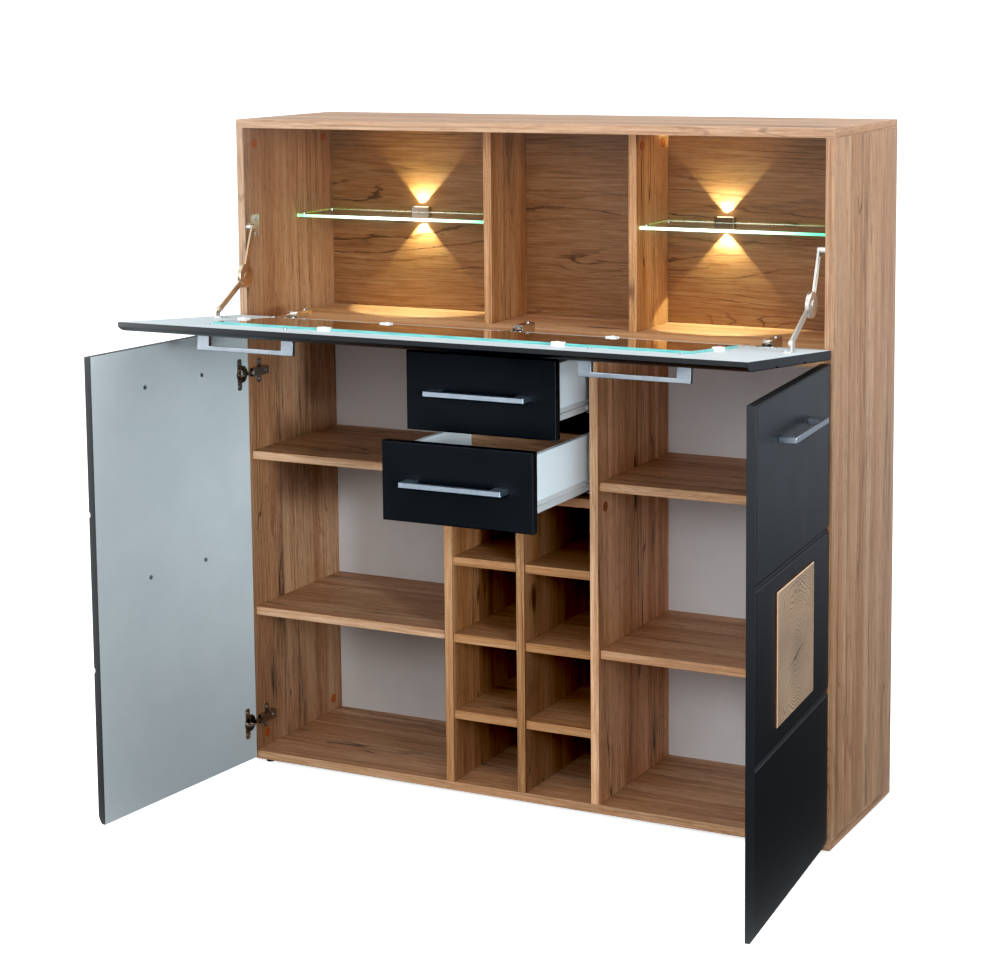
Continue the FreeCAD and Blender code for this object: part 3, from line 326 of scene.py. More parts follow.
def oak_group():
    """The decor with its grain along X. Its inputs are strengths, of 1 or so."""
    inputs = {"Vector": VECTOR, "Tone": FLOAT, "Warmth": FLOAT, "Stripes": FLOAT, "Rings": FLOAT,
              "Cracks": FLOAT}
    outputs = {"Colour": COLOUR, "Roughness": FLOAT, "Height": FLOAT}
    group, start, end = new_group("oak decor", inputs, outputs)
    sway = offset(group, start["Vector"], SWAY, (0.0, 0.018, 0.018))
    grain = add(group, "ShaderNodeVectorMath", {0: start["Vector"], 1: sway}).outputs[0]
    parts = add(group, "ShaderNodeSeparateXYZ", {0: grain}).outputs
    across = calc(group, "ADD", parts["Y"], parts["Z"])

    frayed = offset(group, grain, FRAY, (0.05, 0.02, 0.02))
    frayed = add(group, "ShaderNodeVectorMath", {0: grain, 1: frayed}).outputs[0]
    knots = add(group, "ShaderNodeTexVoronoi",
                {"Vector": stretched(group, frayed, KNOTS), "Scale": 1.0})
    chance = add(group, "ShaderNodeSeparateColor", {0: knots.outputs["Color"]}).outputs[0]
    real = calc(group, "GREATER_THAN", chance, KNOT_CHANCE)
    away = knots.outputs["Distance"]
    hill = calc(group, "MULTIPLY", fade(group, away, 0.0, 0.42, 1.0, 0.0), real)
    core = calc(group, "MULTIPLY", fade(group, away, 0.03, 0.09, 1.0, 0.0), real)

    field = calc(group, "MULTIPLY", cloud(group, grain, CONTOURS, 2.0, 0.4).outputs[0],
                 CONTOUR_LINES)
    field = calc(group, "ADD", field, calc(group, "MULTIPLY", across, LINES_PER_METRE))
    field = calc(group, "ADD", field, calc(group, "MULTIPLY", hill, HILL_LINES))
    ragged = calc(group, "MULTIPLY", cloud(group, grain, RAGGED, 3.0).outputs[0],
                  RAGGED_LINES)
    field = calc(group, "ADD", field, ragged)
    wave = calc(group, "SINE", calc(group, "MULTIPLY", field, 2 * math.pi))
    line = fade(group, wave, 0.86, 1.0)
    strong = cloud(group, grain, STRENGTH, 2.0).outputs[0]
    strong = fade(group, strong, 0.42, 0.62, 0.1, 1.0)
    strong = calc(group, "MAXIMUM", strong, calc(group, "POWER", hill, 0.6))
    rings = calc(group, "MULTIPLY", calc(group, "MULTIPLY", line, strong), start["Rings"])

    staves = fade(group, cloud(group, grain, STAVES, 1.0, 0.4).outputs[0], 0.42, 0.58)
    streaks = cloud(group, grain, STREAKS, 3.0, 0.6).outputs[0]
    fibres = cloud(group, grain, FIBRES, 3.0, 0.7).outputs[0]
    broad = calc(group, "ADD", calc(group, "MULTIPLY", staves, 0.07),
                 calc(group, "MULTIPLY", calc(group, "SUBTRACT", streaks, 0.5), 0.3))
    tone = calc(group, "ADD", calc(group, "MULTIPLY", broad, start["Stripes"]),
                calc(group, "MULTIPLY", fibres, 0.5))
    wood = ramp(group, tone, SAPWOOD)
    ruddy = fade(group, cloud(group, grain, RUDDY, 2.0).outputs[0], 0.5, 0.68)
    ruddy = calc(group, "MULTIPLY", ruddy, start["Stripes"])
    wood = blended(group, calc(group, "MULTIPLY", ruddy, 0.4), wood, RUDDY_TINT)
    wood = blended(group, calc(group, "MULTIPLY", rings, 0.8), wood, RING_TINT)
    veins = cloud(group, grain, VEINS, 2.0, 0.5).outputs[0]
    veins = calc(group, "MULTIPLY", fade(group, veins, 0.58, 0.7), start["Stripes"])
    wood = blended(group, calc(group, "MULTIPLY", veins, 0.5), wood, VEIN_TINT)

    ticks = cloud(group, grain, TICKS, 2.0).outputs[0]
    ticks = calc(group, "MULTIPLY", fade(group, ticks, 0.54, 0.74), start["Cracks"])
    wood = blended(group, calc(group, "MULTIPLY", ticks, 0.5), wood, TICK_TINT)

    smoke = cloud(group, grain, SMOKE, 3.0, 0.55).outputs[0]
    ragged = cloud(group, grain, SMOKE_EDGE, 3.0, 0.65).outputs[0]
    smoke = calc(group, "ADD", calc(group, "MULTIPLY", smoke, 0.72),
                 calc(group, "MULTIPLY", ragged, 0.28))
    close = calc(group, "MULTIPLY", calc(group, "POWER", hill, 3.0), 0.09)
    smoke = calc(group, "ADD", smoke, close)
    stain = calc(group, "MULTIPLY", fade(group, smoke, 0.555, 0.65), start["Cracks"])
    wood = blended(group, calc(group, "MULTIPLY", stain, 0.6), wood, STAIN_TINT)

    split = cloud(group, grain, SPLITS, 2.0, 0.5).outputs[0]
    split = calc(group, "ABSOLUTE", calc(group, "SUBTRACT", split, 0.5))
    where = fade(group, cloud(group, grain, SPLIT_PLACES, 1.0).outputs[0], 0.55, 0.63)
    crack = calc(group, "MULTIPLY", fade(group, split, 0.001, 0.006, 1.0, 0.0), where)
    crack = calc(group, "MAXIMUM", crack, fade(group, smoke, 0.64, 0.69))
    crack = calc(group, "MULTIPLY", crack, start["Cracks"])
    wood = blended(group, calc(group, "MULTIPLY", core, 0.8), wood, KNOT_TINT)
    wood = blended(group, calc(group, "MULTIPLY", crack, 0.85), wood, CRACK_TINT)
    wood = add(group, "ShaderNodeHueSaturation", {"Color": wood, "Value": start["Tone"],
                                                  "Saturation": start["Warmth"]}).outputs[0]

    rough = calc(group, "ADD", calc(group, "MULTIPLY", streaks, 0.16), 0.43)
    height = calc(group, "SUBTRACT", calc(group, "MULTIPLY", fibres, 0.5), crack)
    height = calc(group, "SUBTRACT", height, calc(group, "MULTIPLY", ticks, 0.4))
    height = calc(group, "SUBTRACT", height, calc(group, "MULTIPLY", rings, 0.3))
    fill(group, end, {"Colour": wood, "Roughness": rough, "Height": height})
    return group


oak = oak_group()
print("oak decor has", len(oak.nodes), "nodes")

# %% [markdown]
# ## Which way a face looks
# Several pieces change finish from face to face: a board's end has its own edge band, a front
# is black outside and pale inside, and glass is only green on its edges. The shape's own normal
# tells these faces apart, and it turns with the piece when a door swings.

# %% A mask for faces that look one way
INWARD = Vector((0.0, 1.0, 0.0))
ASIDE, STRAIGHT = 0.82, 0.9         # cosines between a face's normal and the asked direction


def facing_group():
    group, start, end = new_group("faces that look one way",
                                  {"Normal": VECTOR, "Direction": VECTOR}, {"Mask": FLOAT})
    inputs = {0: start["Normal"], 1: start["Direction"]}
    along = add(group, "ShaderNodeVectorMath", inputs, operation="DOT_PRODUCT").outputs["Value"]
    fill(group, end, {"Mask": fade(group, along, ASIDE, STRAIGHT)})
    return group


facing = facing_group()

# %% [markdown]
# ## Boards
# Uprights are cut with the grain standing, shelves and the top with the grain lying along the
# cabinet. Each board is cut from another part of the sheet, so each gets its own place in the
# decor and a faint tone of its own. Some boards are also painted darker, paler or warmer for
# how light falls on them: painted shade in the rack's cells, on the side panels and on the bar's
# back, painted light on the bar floor, the right bay's shelves and its left wall, and a painted
# warm cast in the bar and the cells. The edges have a band glued on, cut from paler sheet: its
# grain runs along the edge, so on the short ends the pattern is read along the cabinet's depth,
# and a fine glue line shows where the front band meets the board.

# %% Oak boards
LYING = (0.0, 0.0, 0.0)
STANDING = (0.0, math.pi / 2, 0.0)
DEEP = (0.0, 0.0, math.pi / 2)
GLUE_TINT = srgb(74, 50, 36)
BAND_PLACE = (0.9, 1.7, 0.6)        # another part of the sheet
BAND_PALER = 0.2
BAND_THICK = 0.0014


def oak_board(name, standing, place, tone=1.0, warmth=1.0, stripes=1.0, rings=0.5, cracks=1.0,
              banded=True):
    """The decor on one board, from its own place in the sheet."""
    material, tree, shader, at = new_material("oak_" + name)
    turn = STANDING if standing else LYING
    inputs = {"Vector": at["Object"], "Location": place, "Rotation": turn}
    along = add(tree, "ShaderNodeMapping", inputs).outputs[0]
    inputs = {"Vector": at["Object"], "Location": place, "Rotation": DEEP}
    across = add(tree, "ShaderNodeMapping", inputs).outputs[0]
    size = add(tree, "ShaderNodeVectorMath", {0: at["Normal"]}, operation="ABSOLUTE").outputs[0]
    axis = (0.0, 0.0, 1.0) if standing else (1.0, 0.0, 0.0)
    is_end = placed_group(tree, facing, {"Normal": size, "Direction": axis})["Mask"]
    vector = add(tree, "ShaderNodeMix", {0: is_end, 4: along, 5: across},
                 data_type="VECTOR").outputs[1]
    values = {"Tone": tone, "Warmth": warmth, "Stripes": stripes, "Rings": rings, "Cracks": cracks}
    if banded:
        is_band = placed_group(tree, facing, {"Normal": size, "Direction": INWARD})["Mask"]
        moved = add(tree, "ShaderNodeVectorMath", {0: is_band, 1: BAND_PLACE}, operation="MULTIPLY")
        vector = add(tree, "ShaderNodeVectorMath", {0: vector, 1: moved.outputs[0]}).outputs[0]
        values["Tone"] = calc(tree, "ADD", calc(tree, "MULTIPLY", is_band, BAND_PALER), tone)
        values["Cracks"] = calc(tree, "SUBTRACT", cracks, calc(tree, "MULTIPLY", is_band, 0.5))
    made = placed_group(tree, oak, {"Vector": vector, **values})
    tint = made["Colour"]
    if banded:
        y = add(tree, "ShaderNodeSeparateXYZ", {0: at["Object"]}).outputs["Y"]
        seam = calc(tree, "ABSOLUTE", calc(tree, "SUBTRACT", y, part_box(name)[0].y + BAND_THICK))
        seam = calc(tree, "MULTIPLY", fade(tree, seam, 0.0002, 0.0007, 0.6, 0.0),
                    calc(tree, "SUBTRACT", 1.0, is_band))
        tint = blended(tree, seam, tint, GLUE_TINT)
    fill(tree, shader, {"Base Color": tint, "Roughness": made["Roughness"]})
    bump(tree, shader, made["Height"], 0.35, 0.0003)
    return material


DRAWER_BOARDS = ["upper_drawer_back", "lower_drawer_back", "upper_drawer_bottom",
                 "lower_drawer_bottom"]
# Boards painted warmer: a painted warm cast for the lamps' light in the bar and the bounce in the
# rack's deep cells
WARM_LIGHT_BOARDS = ["bar_left_divider", "bar_right_divider", "rack_divider", "rack_shelves",
          "lower_left_divider"]
# Boards painted darker or paler: painted shade in the rack's cells and on the side panels, painted
# light on the bar floor, the right bay's shelves and its left wall
LIT_AND_SHADED_TONES = {"bar_floor": 1.45, "lower_right_divider": 1.62, "right_bay_shelves": 1.18,
         "rack_divider": 0.68, "rack_shelves": 0.8, "lower_left_divider": 0.88,
         "right_side_panel": 0.88, "left_side_panel": 0.83, "top_panel": 1.03}
BOARDS = UPRIGHTS + LYING_BOARDS + DRAWER_BOARDS
for count, name in enumerate(BOARDS):
    place = (0.37 * count, 0.71 * count, 1.13 * count)
    tone = (1.0 + 0.04 * math.sin(2.4 * count)) * LIT_AND_SHADED_TONES.get(name, 1.0)
    warmth = 1.15 if name in WARM_LIGHT_BOARDS else 1.03
    banded = name not in DRAWER_BOARDS
    paint(oak_board(name, name in UPRIGHTS, place, tone, warmth, banded=banded), name)
# The bar's back is painted darker and warmer: painted shade under the top panel and a painted warm
# cast for the lamps' light
bar_back = oak_board("bar_back_panel", False, (0.3, 4.1, 2.2), tone=0.54, warmth=1.2,
                     stripes=0.25, rings=1.2, cracks=0.4, banded=False)
paint(bar_back, "bar_back_panel")
print("oak boards", len(BOARDS) + 1)

# %% [markdown]
# ## Painted and coated board
# The bays' backs are thin board with a grey foil, painted darker in the left bay as a painted
# shade for the left door's shadow, and paler in the right bay as painted light where more light
# reaches it. The rack's back is painted nearly black, a painted shade for the deep cells, and the
# drawers' sides are wrapped in a cool white foil. Rails, caps, feet and clips are painted or
# moulded. All are nearly plain: a faint cloud in the colour and a fine tooth in the surface keep
# them from looking flat.

# %% Coated board
TOOTH_PER_METRE, LACQUER_PER_METRE = 900.0, 700.0


def tooth_group():
    """A faint cloud of tone and a fine tooth, for foils, lacquers and moulded plastic."""
    inputs = {"Vector": VECTOR, "Dark": COLOUR, "Light": COLOUR, "Rough": FLOAT, "Size": FLOAT}
    outputs = {"Colour": COLOUR, "Roughness": FLOAT, "Height": FLOAT}
    group, start, end = new_group("cloud and tooth", inputs, outputs)
    haze = cloud(group, start["Vector"], (4.0, 4.0, 4.0), 4.0, 0.6).outputs[0]
    tooth = add(group, "ShaderNodeTexNoise", {"Vector": start["Vector"], "Scale": start["Size"],
                                              "Detail": 2.0}).outputs[0]
    mixed = calc(group, "ADD", calc(group, "MULTIPLY", haze, 0.75),
                 calc(group, "MULTIPLY", tooth, 0.25))
    tint = blended(group, fade(group, mixed, 0.35, 0.65), start["Dark"], start["Light"])
    smear = cloud(group, start["Vector"], (9.0, 9.0, 5.0), 3.0).outputs[0]
    rough = calc(group, "ADD", start["Rough"], calc(group, "MULTIPLY", smear, 0.1))
    fill(group, end, {"Colour": tint, "Roughness": rough, "Height": tooth})
    return group


tooth = tooth_group()


def coated(name, dark, light, rough):
    """A nearly plain foil, paint or plastic."""
    material, tree, shader, at = new_material(name)
    made = placed_group(tree, tooth, {"Vector": at["Object"], "Dark": dark, "Light": light,
                                      "Rough": rough, "Size": TOOTH_PER_METRE})
    fill(tree, shader, {"Base Color": made["Colour"], "Roughness": made["Roughness"]})
    bump(tree, shader, made["Height"], 0.3, 0.00008)
    return material


COATS = [   # name, darker and lighter tone, roughness, pieces
    # the left bay's foil is painted darker as a painted shade, the right bay's paler as painted
    # light
    ("grey_foil_left", (182, 178, 176), (192, 188, 186), 0.55, ["left_bay_back"]),
    ("grey_foil_right", (212, 213, 216), (221, 222, 225), 0.55, ["right_bay_back"]),
    # the rack's back is painted nearly black: painted shade for the deep cells
    ("dark_foil", (22, 16, 13), (32, 25, 21), 0.55, ["rack_back"]),
    ("white_foil", (232, 245, 254), (238, 250, 255), 0.4,
     ["upper_drawer_sides", "lower_drawer_sides"]),
    ("rail_paint", (196, 200, 202), (212, 214, 216), 0.3,
     ["upper_drawer_rails", "lower_drawer_rails", "drawer_channels"]),
    ("cap_plastic", (150, 82, 36), (166, 94, 44), 0.45, ["cam_caps"]),
    ("foot_plastic", (20, 20, 21), (32, 32, 33), 0.5, ["feet"]),
    ("clip_plastic", (228, 232, 234), (240, 242, 243), 0.25, ["glass_clips"])]
for name, dark, light, rough, pieces in COATS:
    paint(coated(name, srgb(*dark), srgb(*light), rough), *pieces)
print("coats", len(COATS))

# %% [markdown]
# ## Black fronts
# The fronts are satin black outside and on their edges, with a pale foil on the inner face.
# The inner face looks one way, and which way depends on how far the front is turned from shut
# where it rests, so the direction is worked out from the joint's own range.

# %% Where each front's inner face looks
def rest_turn(joint_name):
    """The turn from shut to where a front rests. Shut is the far end of its joint's range."""
    joint = next(j for j in frame["joints"] if j["name"] == joint_name)
    return Matrix.Rotation(-math.radians(joint["range_deg"][0]), 3, Vector(joint["axis"]))


turns = {"left_door": rest_turn("left_door_swing"), "right_door": rest_turn("right_door_swing"),
         "flap": rest_turn("flap_drop"), "upper_drawer": Matrix.Identity(3),
         "lower_drawer": Matrix.Identity(3)}
for front, turn in turns.items():
    print(front, "looks inward along", [round(v, 2) for v in turn @ INWARD])

# %% Black lacquer outside, pale foil inside
FRONT_GLOSS = {"left_door": 0.5, "right_door": 0.6, "flap": 0.5, "upper_drawer": 0.25,
               "lower_drawer": 0.25}


def front_finish(front):
    """Black lacquer, with the pale foil on the face that looks into the cabinet."""
    material, tree, shader, at = new_material(front + "_front")
    inward = tuple(turns[front] @ INWARD)
    inside = placed_group(tree, facing, {"Normal": at["Normal"], "Direction": inward})["Mask"]
    outer = placed_group(tree, tooth, {
        "Vector": at["Object"], "Dark": srgb(15, 18, 21), "Light": srgb(21, 24, 28),
        "Rough": 0.33, "Size": LACQUER_PER_METRE})
    inner = placed_group(tree, tooth, {
        "Vector": at["Object"], "Dark": srgb(192, 204, 208), "Light": srgb(202, 213, 217),
        "Rough": 0.4, "Size": TOOTH_PER_METRE})
    tint = blended(tree, inside, outer["Colour"], inner["Colour"])
    inputs = {0: inside, 2: outer["Roughness"], 3: inner["Roughness"]}
    rough = add(tree, "ShaderNodeMix", inputs).outputs[0]
    fill(tree, shader, {"Base Color": tint, "Roughness": rough,
                        "Specular IOR Level": FRONT_GLOSS[front]})
    bump(tree, shader, outer["Height"], 0.25, 0.00006)
    return material


for front, panel in FRONTS.items():
    paint(front_finish(front), panel)

# %% [markdown]
# ## End-grain inlay
# Each door carries a square slice cut across an oak log. Its growth rings run round the pith, a
# drying crack opens through the pith, finer cracks run out like rays, and the rim is chamfered.
# The chamfer is painted pale as a painted highlight, and the sides that stand proud are painted
# dark brown as a painted shade. Rings are the distance from the pith, bent by a noise, and the
# pattern is read in the door's own frame, so that it is the same whichever way the door stands.

# %% The slice of oak
PITH = (0.006, -0.020)              # off the square's middle, along and up the door
CRACK_SLOPE = 0.29
CRACK_REACH = 0.085
INLAY_THICK = 0.0065                # behind it, the same node holds the two screws
RING_PITCH = 0.0058
SLICE = [(0.35, srgb(166, 141, 118)), (0.52, srgb(178, 152, 127)), (0.66, srgb(188, 162, 136))]
# dark brown for the sides that stand proud: painted shade
SIDE_SHADE = [(0.35, srgb(84, 48, 32)), (0.65, srgb(134, 86, 58))]
SLICE_RING, SLICE_PORE, SLICE_HEART = srgb(110, 88, 72), srgb(92, 72, 56), srgb(112, 98, 88)
# the rim's pale tone is a painted highlight on the chamfer
SLICE_CRACK, RIM_HIGHLIGHT, SCREW_STEEL = srgb(38, 36, 44), srgb(214, 190, 160), srgb(150, 160, 170)


def end_grain(front):
    """The slice on one door, its sides painted dark brown as a painted shade, and the screws behind
    it.
    """
    name = front + "_inlay"
    turn = turns[front]
    outward = turn @ -INWARD
    corners = [v.co for v in nodes[name].data.vertices]
    proud = max(c.dot(outward) for c in corners)
    middle = sum(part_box(name), Vector()) / 2
    middle += outward * (proud - INLAY_THICK / 2 - middle.dot(outward))
    material, tree, shader, at = new_material(name)
    inputs = {"Vector": at["Object"], "Location": middle, "Rotation": turn.to_euler()}
    local = add(tree, "ShaderNodeMapping", inputs, vector_type="TEXTURE").outputs[0]
    pith = add(tree, "ShaderNodeVectorMath", {0: local, 1: (PITH[0], 0.0, PITH[1])},
               operation="SUBTRACT").outputs[0]
    bend = offset(tree, pith, (16.0, 16.0, 16.0), (0.05, 0.0, 0.05))
    bent = add(tree, "ShaderNodeVectorMath", {0: pith, 1: bend}).outputs[0]
    flat = stretched(tree, bent, (1.0, 0.0, 0.82))
    radius = add(tree, "ShaderNodeVectorMath", {0: flat}, operation="LENGTH").outputs["Value"]
    rings = calc(tree, "SINE", calc(tree, "MULTIPLY", radius, 2 * math.pi / RING_PITCH))
    patchy = fade(tree, cloud(tree, pith, (22.0, 22.0, 22.0), 2.0).outputs[0], 0.38, 0.62)
    rings = calc(tree, "MULTIPLY", fade(tree, rings, -0.2, 0.9),
                 fade(tree, patchy, 0.0, 1.0, 0.55, 1.0))
    pores = cloud(tree, bent, (520.0, 520.0, 520.0), 2.0).outputs[0]
    base = ramp(tree, cloud(tree, pith, (11.0, 11.0, 11.0), 3.0).outputs[0], SLICE)
    wood = blended(tree, calc(tree, "MULTIPLY", rings, 0.75), base, SLICE_RING)
    open_pores = calc(tree, "MULTIPLY", fade(tree, pores, 0.5, 0.72), 0.35)
    wood = blended(tree, open_pores, wood, SLICE_PORE)
    heart = calc(tree, "MULTIPLY", fade(tree, radius, 0.0, 0.06, 1.0, 0.0), 0.4)
    wood = blended(tree, heart, wood, SLICE_HEART)

    parts = add(tree, "ShaderNodeSeparateXYZ", {0: pith}).outputs
    wobble = cloud(tree, pith, (38.0, 38.0, 38.0), 3.0).outputs[0]
    wobble = calc(tree, "MULTIPLY", calc(tree, "SUBTRACT", wobble, 0.5), 0.02)
    line = calc(tree, "SUBTRACT", parts["Z"], calc(tree, "MULTIPLY", parts["X"], CRACK_SLOPE))
    line = calc(tree, "ABSOLUTE", calc(tree, "ADD", line, wobble))
    taper = fade(tree, radius, 0.0, CRACK_REACH, 0.0011, -0.0005)
    main = fade(tree, calc(tree, "SUBTRACT", line, taper), -0.0006, 0.0008, 1.0, 0.0)
    main = calc(tree, "MULTIPLY", main,
                fade(tree, radius, CRACK_REACH * 0.8, CRACK_REACH, 1.0, 0.0))
    angle = calc(tree, "ARCTAN2", parts["Z"], parts["X"])
    spoke = calc(tree, "ADD", calc(tree, "MULTIPLY", angle, 2.6),
                 calc(tree, "MULTIPLY", wobble, 16.0))
    spoke = calc(tree, "ABSOLUTE", calc(tree, "SINE", spoke))
    rays = fade(tree, calc(tree, "MULTIPLY", spoke, radius), 0.0003, 0.0012, 1.0, 0.0)
    rays = calc(tree, "MULTIPLY", rays, fade(tree, patchy, 0.3, 0.6))
    rays = calc(tree, "MULTIPLY", rays, fade(tree, radius, 0.02, 0.1, 0.8, 0.0))
    crack = calc(tree, "MAXIMUM", main, calc(tree, "MULTIPLY", rays, 0.7))
    wood = blended(tree, calc(tree, "MULTIPLY", crack, 0.9), wood, SLICE_CRACK)

    along = add(tree, "ShaderNodeVectorMath", {0: at["Normal"], 1: tuple(outward)},
                operation="DOT_PRODUCT").outputs["Value"]
    is_face = fade(tree, along, 0.92, 0.98)
    is_side = fade(tree, along, 0.3, 0.4, 1.0, 0.0)
    # the chamfered rim is painted pale: a painted highlight
    rim = blended(tree, is_face, RIM_HIGHLIGHT, wood)
    depth = add(tree, "ShaderNodeSeparateXYZ", {0: local}).outputs["Y"]
    is_screw = fade(tree, depth, INLAY_THICK / 2 - 0.0003, INLAY_THICK / 2 + 0.0003)
    # the sides that stand proud are painted dark brown: painted shade
    side_shade = ramp(tree, cloud(tree, pith, (300.0, 300.0, 300.0), 3.0).outputs[0], SIDE_SHADE)
    tint = blended(tree, is_screw, blended(tree, is_side, rim, side_shade), SCREW_STEEL)
    rough = calc(tree, "ADD", calc(tree, "MULTIPLY", pores, 0.2), 0.55)
    fill(tree, shader, {"Base Color": tint, "Metallic": is_screw, "Roughness": rough})
    height = calc(tree, "SUBTRACT", calc(tree, "MULTIPLY", rings, -0.35), crack)
    bump(tree, shader, height, 0.5, 0.0006)
    return material


for front in ("left_door", "right_door"):
    paint(end_grain(front), front + "_inlay")

# %% [markdown]
# ## Metal
# The handles are satin anodised bars, drawn along their length, so fine lines run that way, and
# the drawers' two are painted paler, a painted highlight for the light from above on them. The
# doors' hinges are pressed steel with a dark nickel coat, and the flap's hinges have a bright one.
# The stays are zinc, and the left one is painted with a brassy tint, a painted warm cast for the
# warm light on it. One group gives all of them: lines along a chosen axis, and a cloud of finger
# marks that changes the roughness a little.

# %% Metal finishes
def metal_group():
    """Lines drawn along X and a cloud of finger marks."""
    inputs = {"Vector": VECTOR, "Dark": COLOUR, "Light": COLOUR, "Rough": FLOAT, "Spread": FLOAT}
    outputs = {"Colour": COLOUR, "Roughness": FLOAT, "Height": FLOAT}
    group, start, end = new_group("drawn metal", inputs, outputs)
    lines = cloud(group, start["Vector"], (14.0, 1600.0, 1600.0), 2.0).outputs[0]
    marks = cloud(group, start["Vector"], (30.0, 30.0, 30.0), 3.0, 0.6).outputs[0]
    mixed = calc(group, "ADD", calc(group, "MULTIPLY", lines, 0.5),
                 calc(group, "MULTIPLY", marks, 0.5))
    tint = blended(group, fade(group, mixed, 0.35, 0.65), start["Dark"], start["Light"])
    rough = calc(group, "MULTIPLY", calc(group, "SUBTRACT", mixed, 0.5), start["Spread"])
    rough = calc(group, "ADD", rough, start["Rough"], clamp=True)
    fill(group, end, {"Colour": tint, "Roughness": rough, "Height": lines})
    return group


drawn = metal_group()
ALONG_X, ALONG_Y, ALONG_Z = (0.0, 0.0, 0.0), (0.0, 0.0, math.pi / 2), (0.0, math.pi / 2, 0.0)
SCREW_TINT = srgb(196, 208, 224)


def metal(name, dark, light, rough, turn):
    """A metal with its drawing lines turned to one axis. Marked screws are a bluish zinc."""
    material, tree, shader, at = new_material(name)
    inputs = {"Vector": at["Object"], "Rotation": turn}
    vector = add(tree, "ShaderNodeMapping", inputs).outputs[0]
    made = placed_group(tree, drawn, {"Vector": vector, "Dark": dark, "Light": light,
                                      "Rough": rough, "Spread": 0.25})
    screw = add(tree, "ShaderNodeAttribute", {}, attribute_name="screw").outputs["Fac"]
    tint = blended(tree, screw, made["Colour"], SCREW_TINT)
    fill(tree, shader, {"Base Color": tint, "Roughness": made["Roughness"], "Metallic": 1.0})
    bump(tree, shader, made["Height"], 0.3, 0.00003)
    return material


LEFT_STAY, RIGHT_STAY = STAYS[:2], STAYS[2:]
METALS = [  # name, darker and lighter tone, roughness, drawing, pieces
    ("satin_handle_x", (158, 169, 178), (182, 191, 199), 0.33, ALONG_X, ["flap_handles"]),
    ("satin_handle_y", (158, 169, 178), (182, 191, 199), 0.33, ALONG_Y,
     ["left_door_handle", "right_door_handle"]),
    # the drawers' handles are painted paler: a painted highlight for the light from above
    ("satin_drawer_handle", (196, 212, 226), (216, 229, 240), 0.36, ALONG_X,
     ["upper_drawer_handle", "lower_drawer_handle"]),
    ("dark_nickel", (158, 150, 141), (192, 184, 175), 0.25, ALONG_Y, HINGES[:4]),
    ("bright_nickel", (206, 202, 196), (226, 223, 218), 0.2, ALONG_Y,
     HINGES[4:] + ["shelf_pins"]),
    ("lamp_chrome", (84, 78, 72), (112, 104, 96), 0.12, ALONG_X, ["clip_lamps"]),
    ("polished_zinc", (216, 211, 203), (234, 230, 223), 0.36, ALONG_Z,
     STAY_FITTINGS + RIGHT_STAY),
    # the left stay is painted brassy: a painted warm cast for the warm light on it
    ("warm_zinc", (190, 168, 136), (212, 192, 162), 0.3, ALONG_Z, LEFT_STAY)]
metals = {}
for name, dark, light, rough, turn, pieces in METALS:
    metals[name] = metal(name, srgb(*dark), srgb(*light), rough, turn)
    paint(metals[name], *pieces)
print("metals", len(metals))

# %% [markdown]
# Each glass shelf is held at its ends by small chrome clamps that grip the sheet from above and
# below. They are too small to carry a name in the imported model, so they are made here: a cube,
# sized and rounded, four to a shelf.

# %% Glass clamps
CLAMP_SIZE = (0.011, 0.009, 0.014)
CLAMP_INSET = (0.0075, 0.016)
CLAMP_ROUND = 0.0022


def glass_clamps():
    """Rounded cubes at the ends of both glass shelves, in one piece."""
    form = bmesh.new()
    for side in ("left", "right"):
        low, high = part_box(side + "_glass_shelf")
        for x in (low.x + CLAMP_INSET[0], high.x - CLAMP_INSET[0]):
            for y in (low.y + CLAMP_INSET[1], high.y - CLAMP_INSET[1]):
                place = Matrix.Translation((x, y, (low.z + high.z) / 2))
                cube = bmesh.ops.create_cube(form, size=1.0)["verts"]
                bmesh.ops.transform(form, matrix=place @ Matrix.Diagonal((*CLAMP_SIZE, 1.0)),
                                    verts=cube)
    bmesh.ops.bevel(form, geom=form.edges[:], offset=CLAMP_ROUND, offset_type="OFFSET", segments=3,
                    profile=0.5, affect="EDGES", clamp_overlap=True, material=-1)
    mesh = bpy.data.meshes.new("glass_clamps")
    form.to_mesh(mesh)
    form.free()
    clamps = placed("glass_clamps", mesh)
    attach(clamps, body_of(nodes["shelf_pins"])[0])
    mesh.materials.append(metals["bright_nickel"])
    print("glass clamps", len(mesh.polygons), "faces")


glass_clamps()

# %% [markdown]
# ## Glass
# The bar's shelves are clear float glass. Seen through its faces it is nearly colourless, while
# its ground edges gather a strong green. The lamps clipped to the rear edge would shine into the
# sheet; here that light is painted on the edges as a glow of their own, brightest near the lamp.
# The sheet on the flap is a mirror with the same kind of edge. The edges are the faces that don't
# look straight up or down.

# %% Shelf glass with a painted glow on its edges
UP, OUT = (0.0, 0.0, 1.0), (0.0, -1.0, 0.0)
# the rear and front edge colours are emission: painted light, not the glass's own tint
CLEAR, GREEN, PAINTED_REAR_GLOW = srgb(243, 250, 246), srgb(110, 205, 165), srgb(118, 158, 66)
PAINTED_EDGE_GLOW, PAINTED_GLOW_NEAR_LAMP = srgb(52, 128, 96), srgb(250, 255, 240)


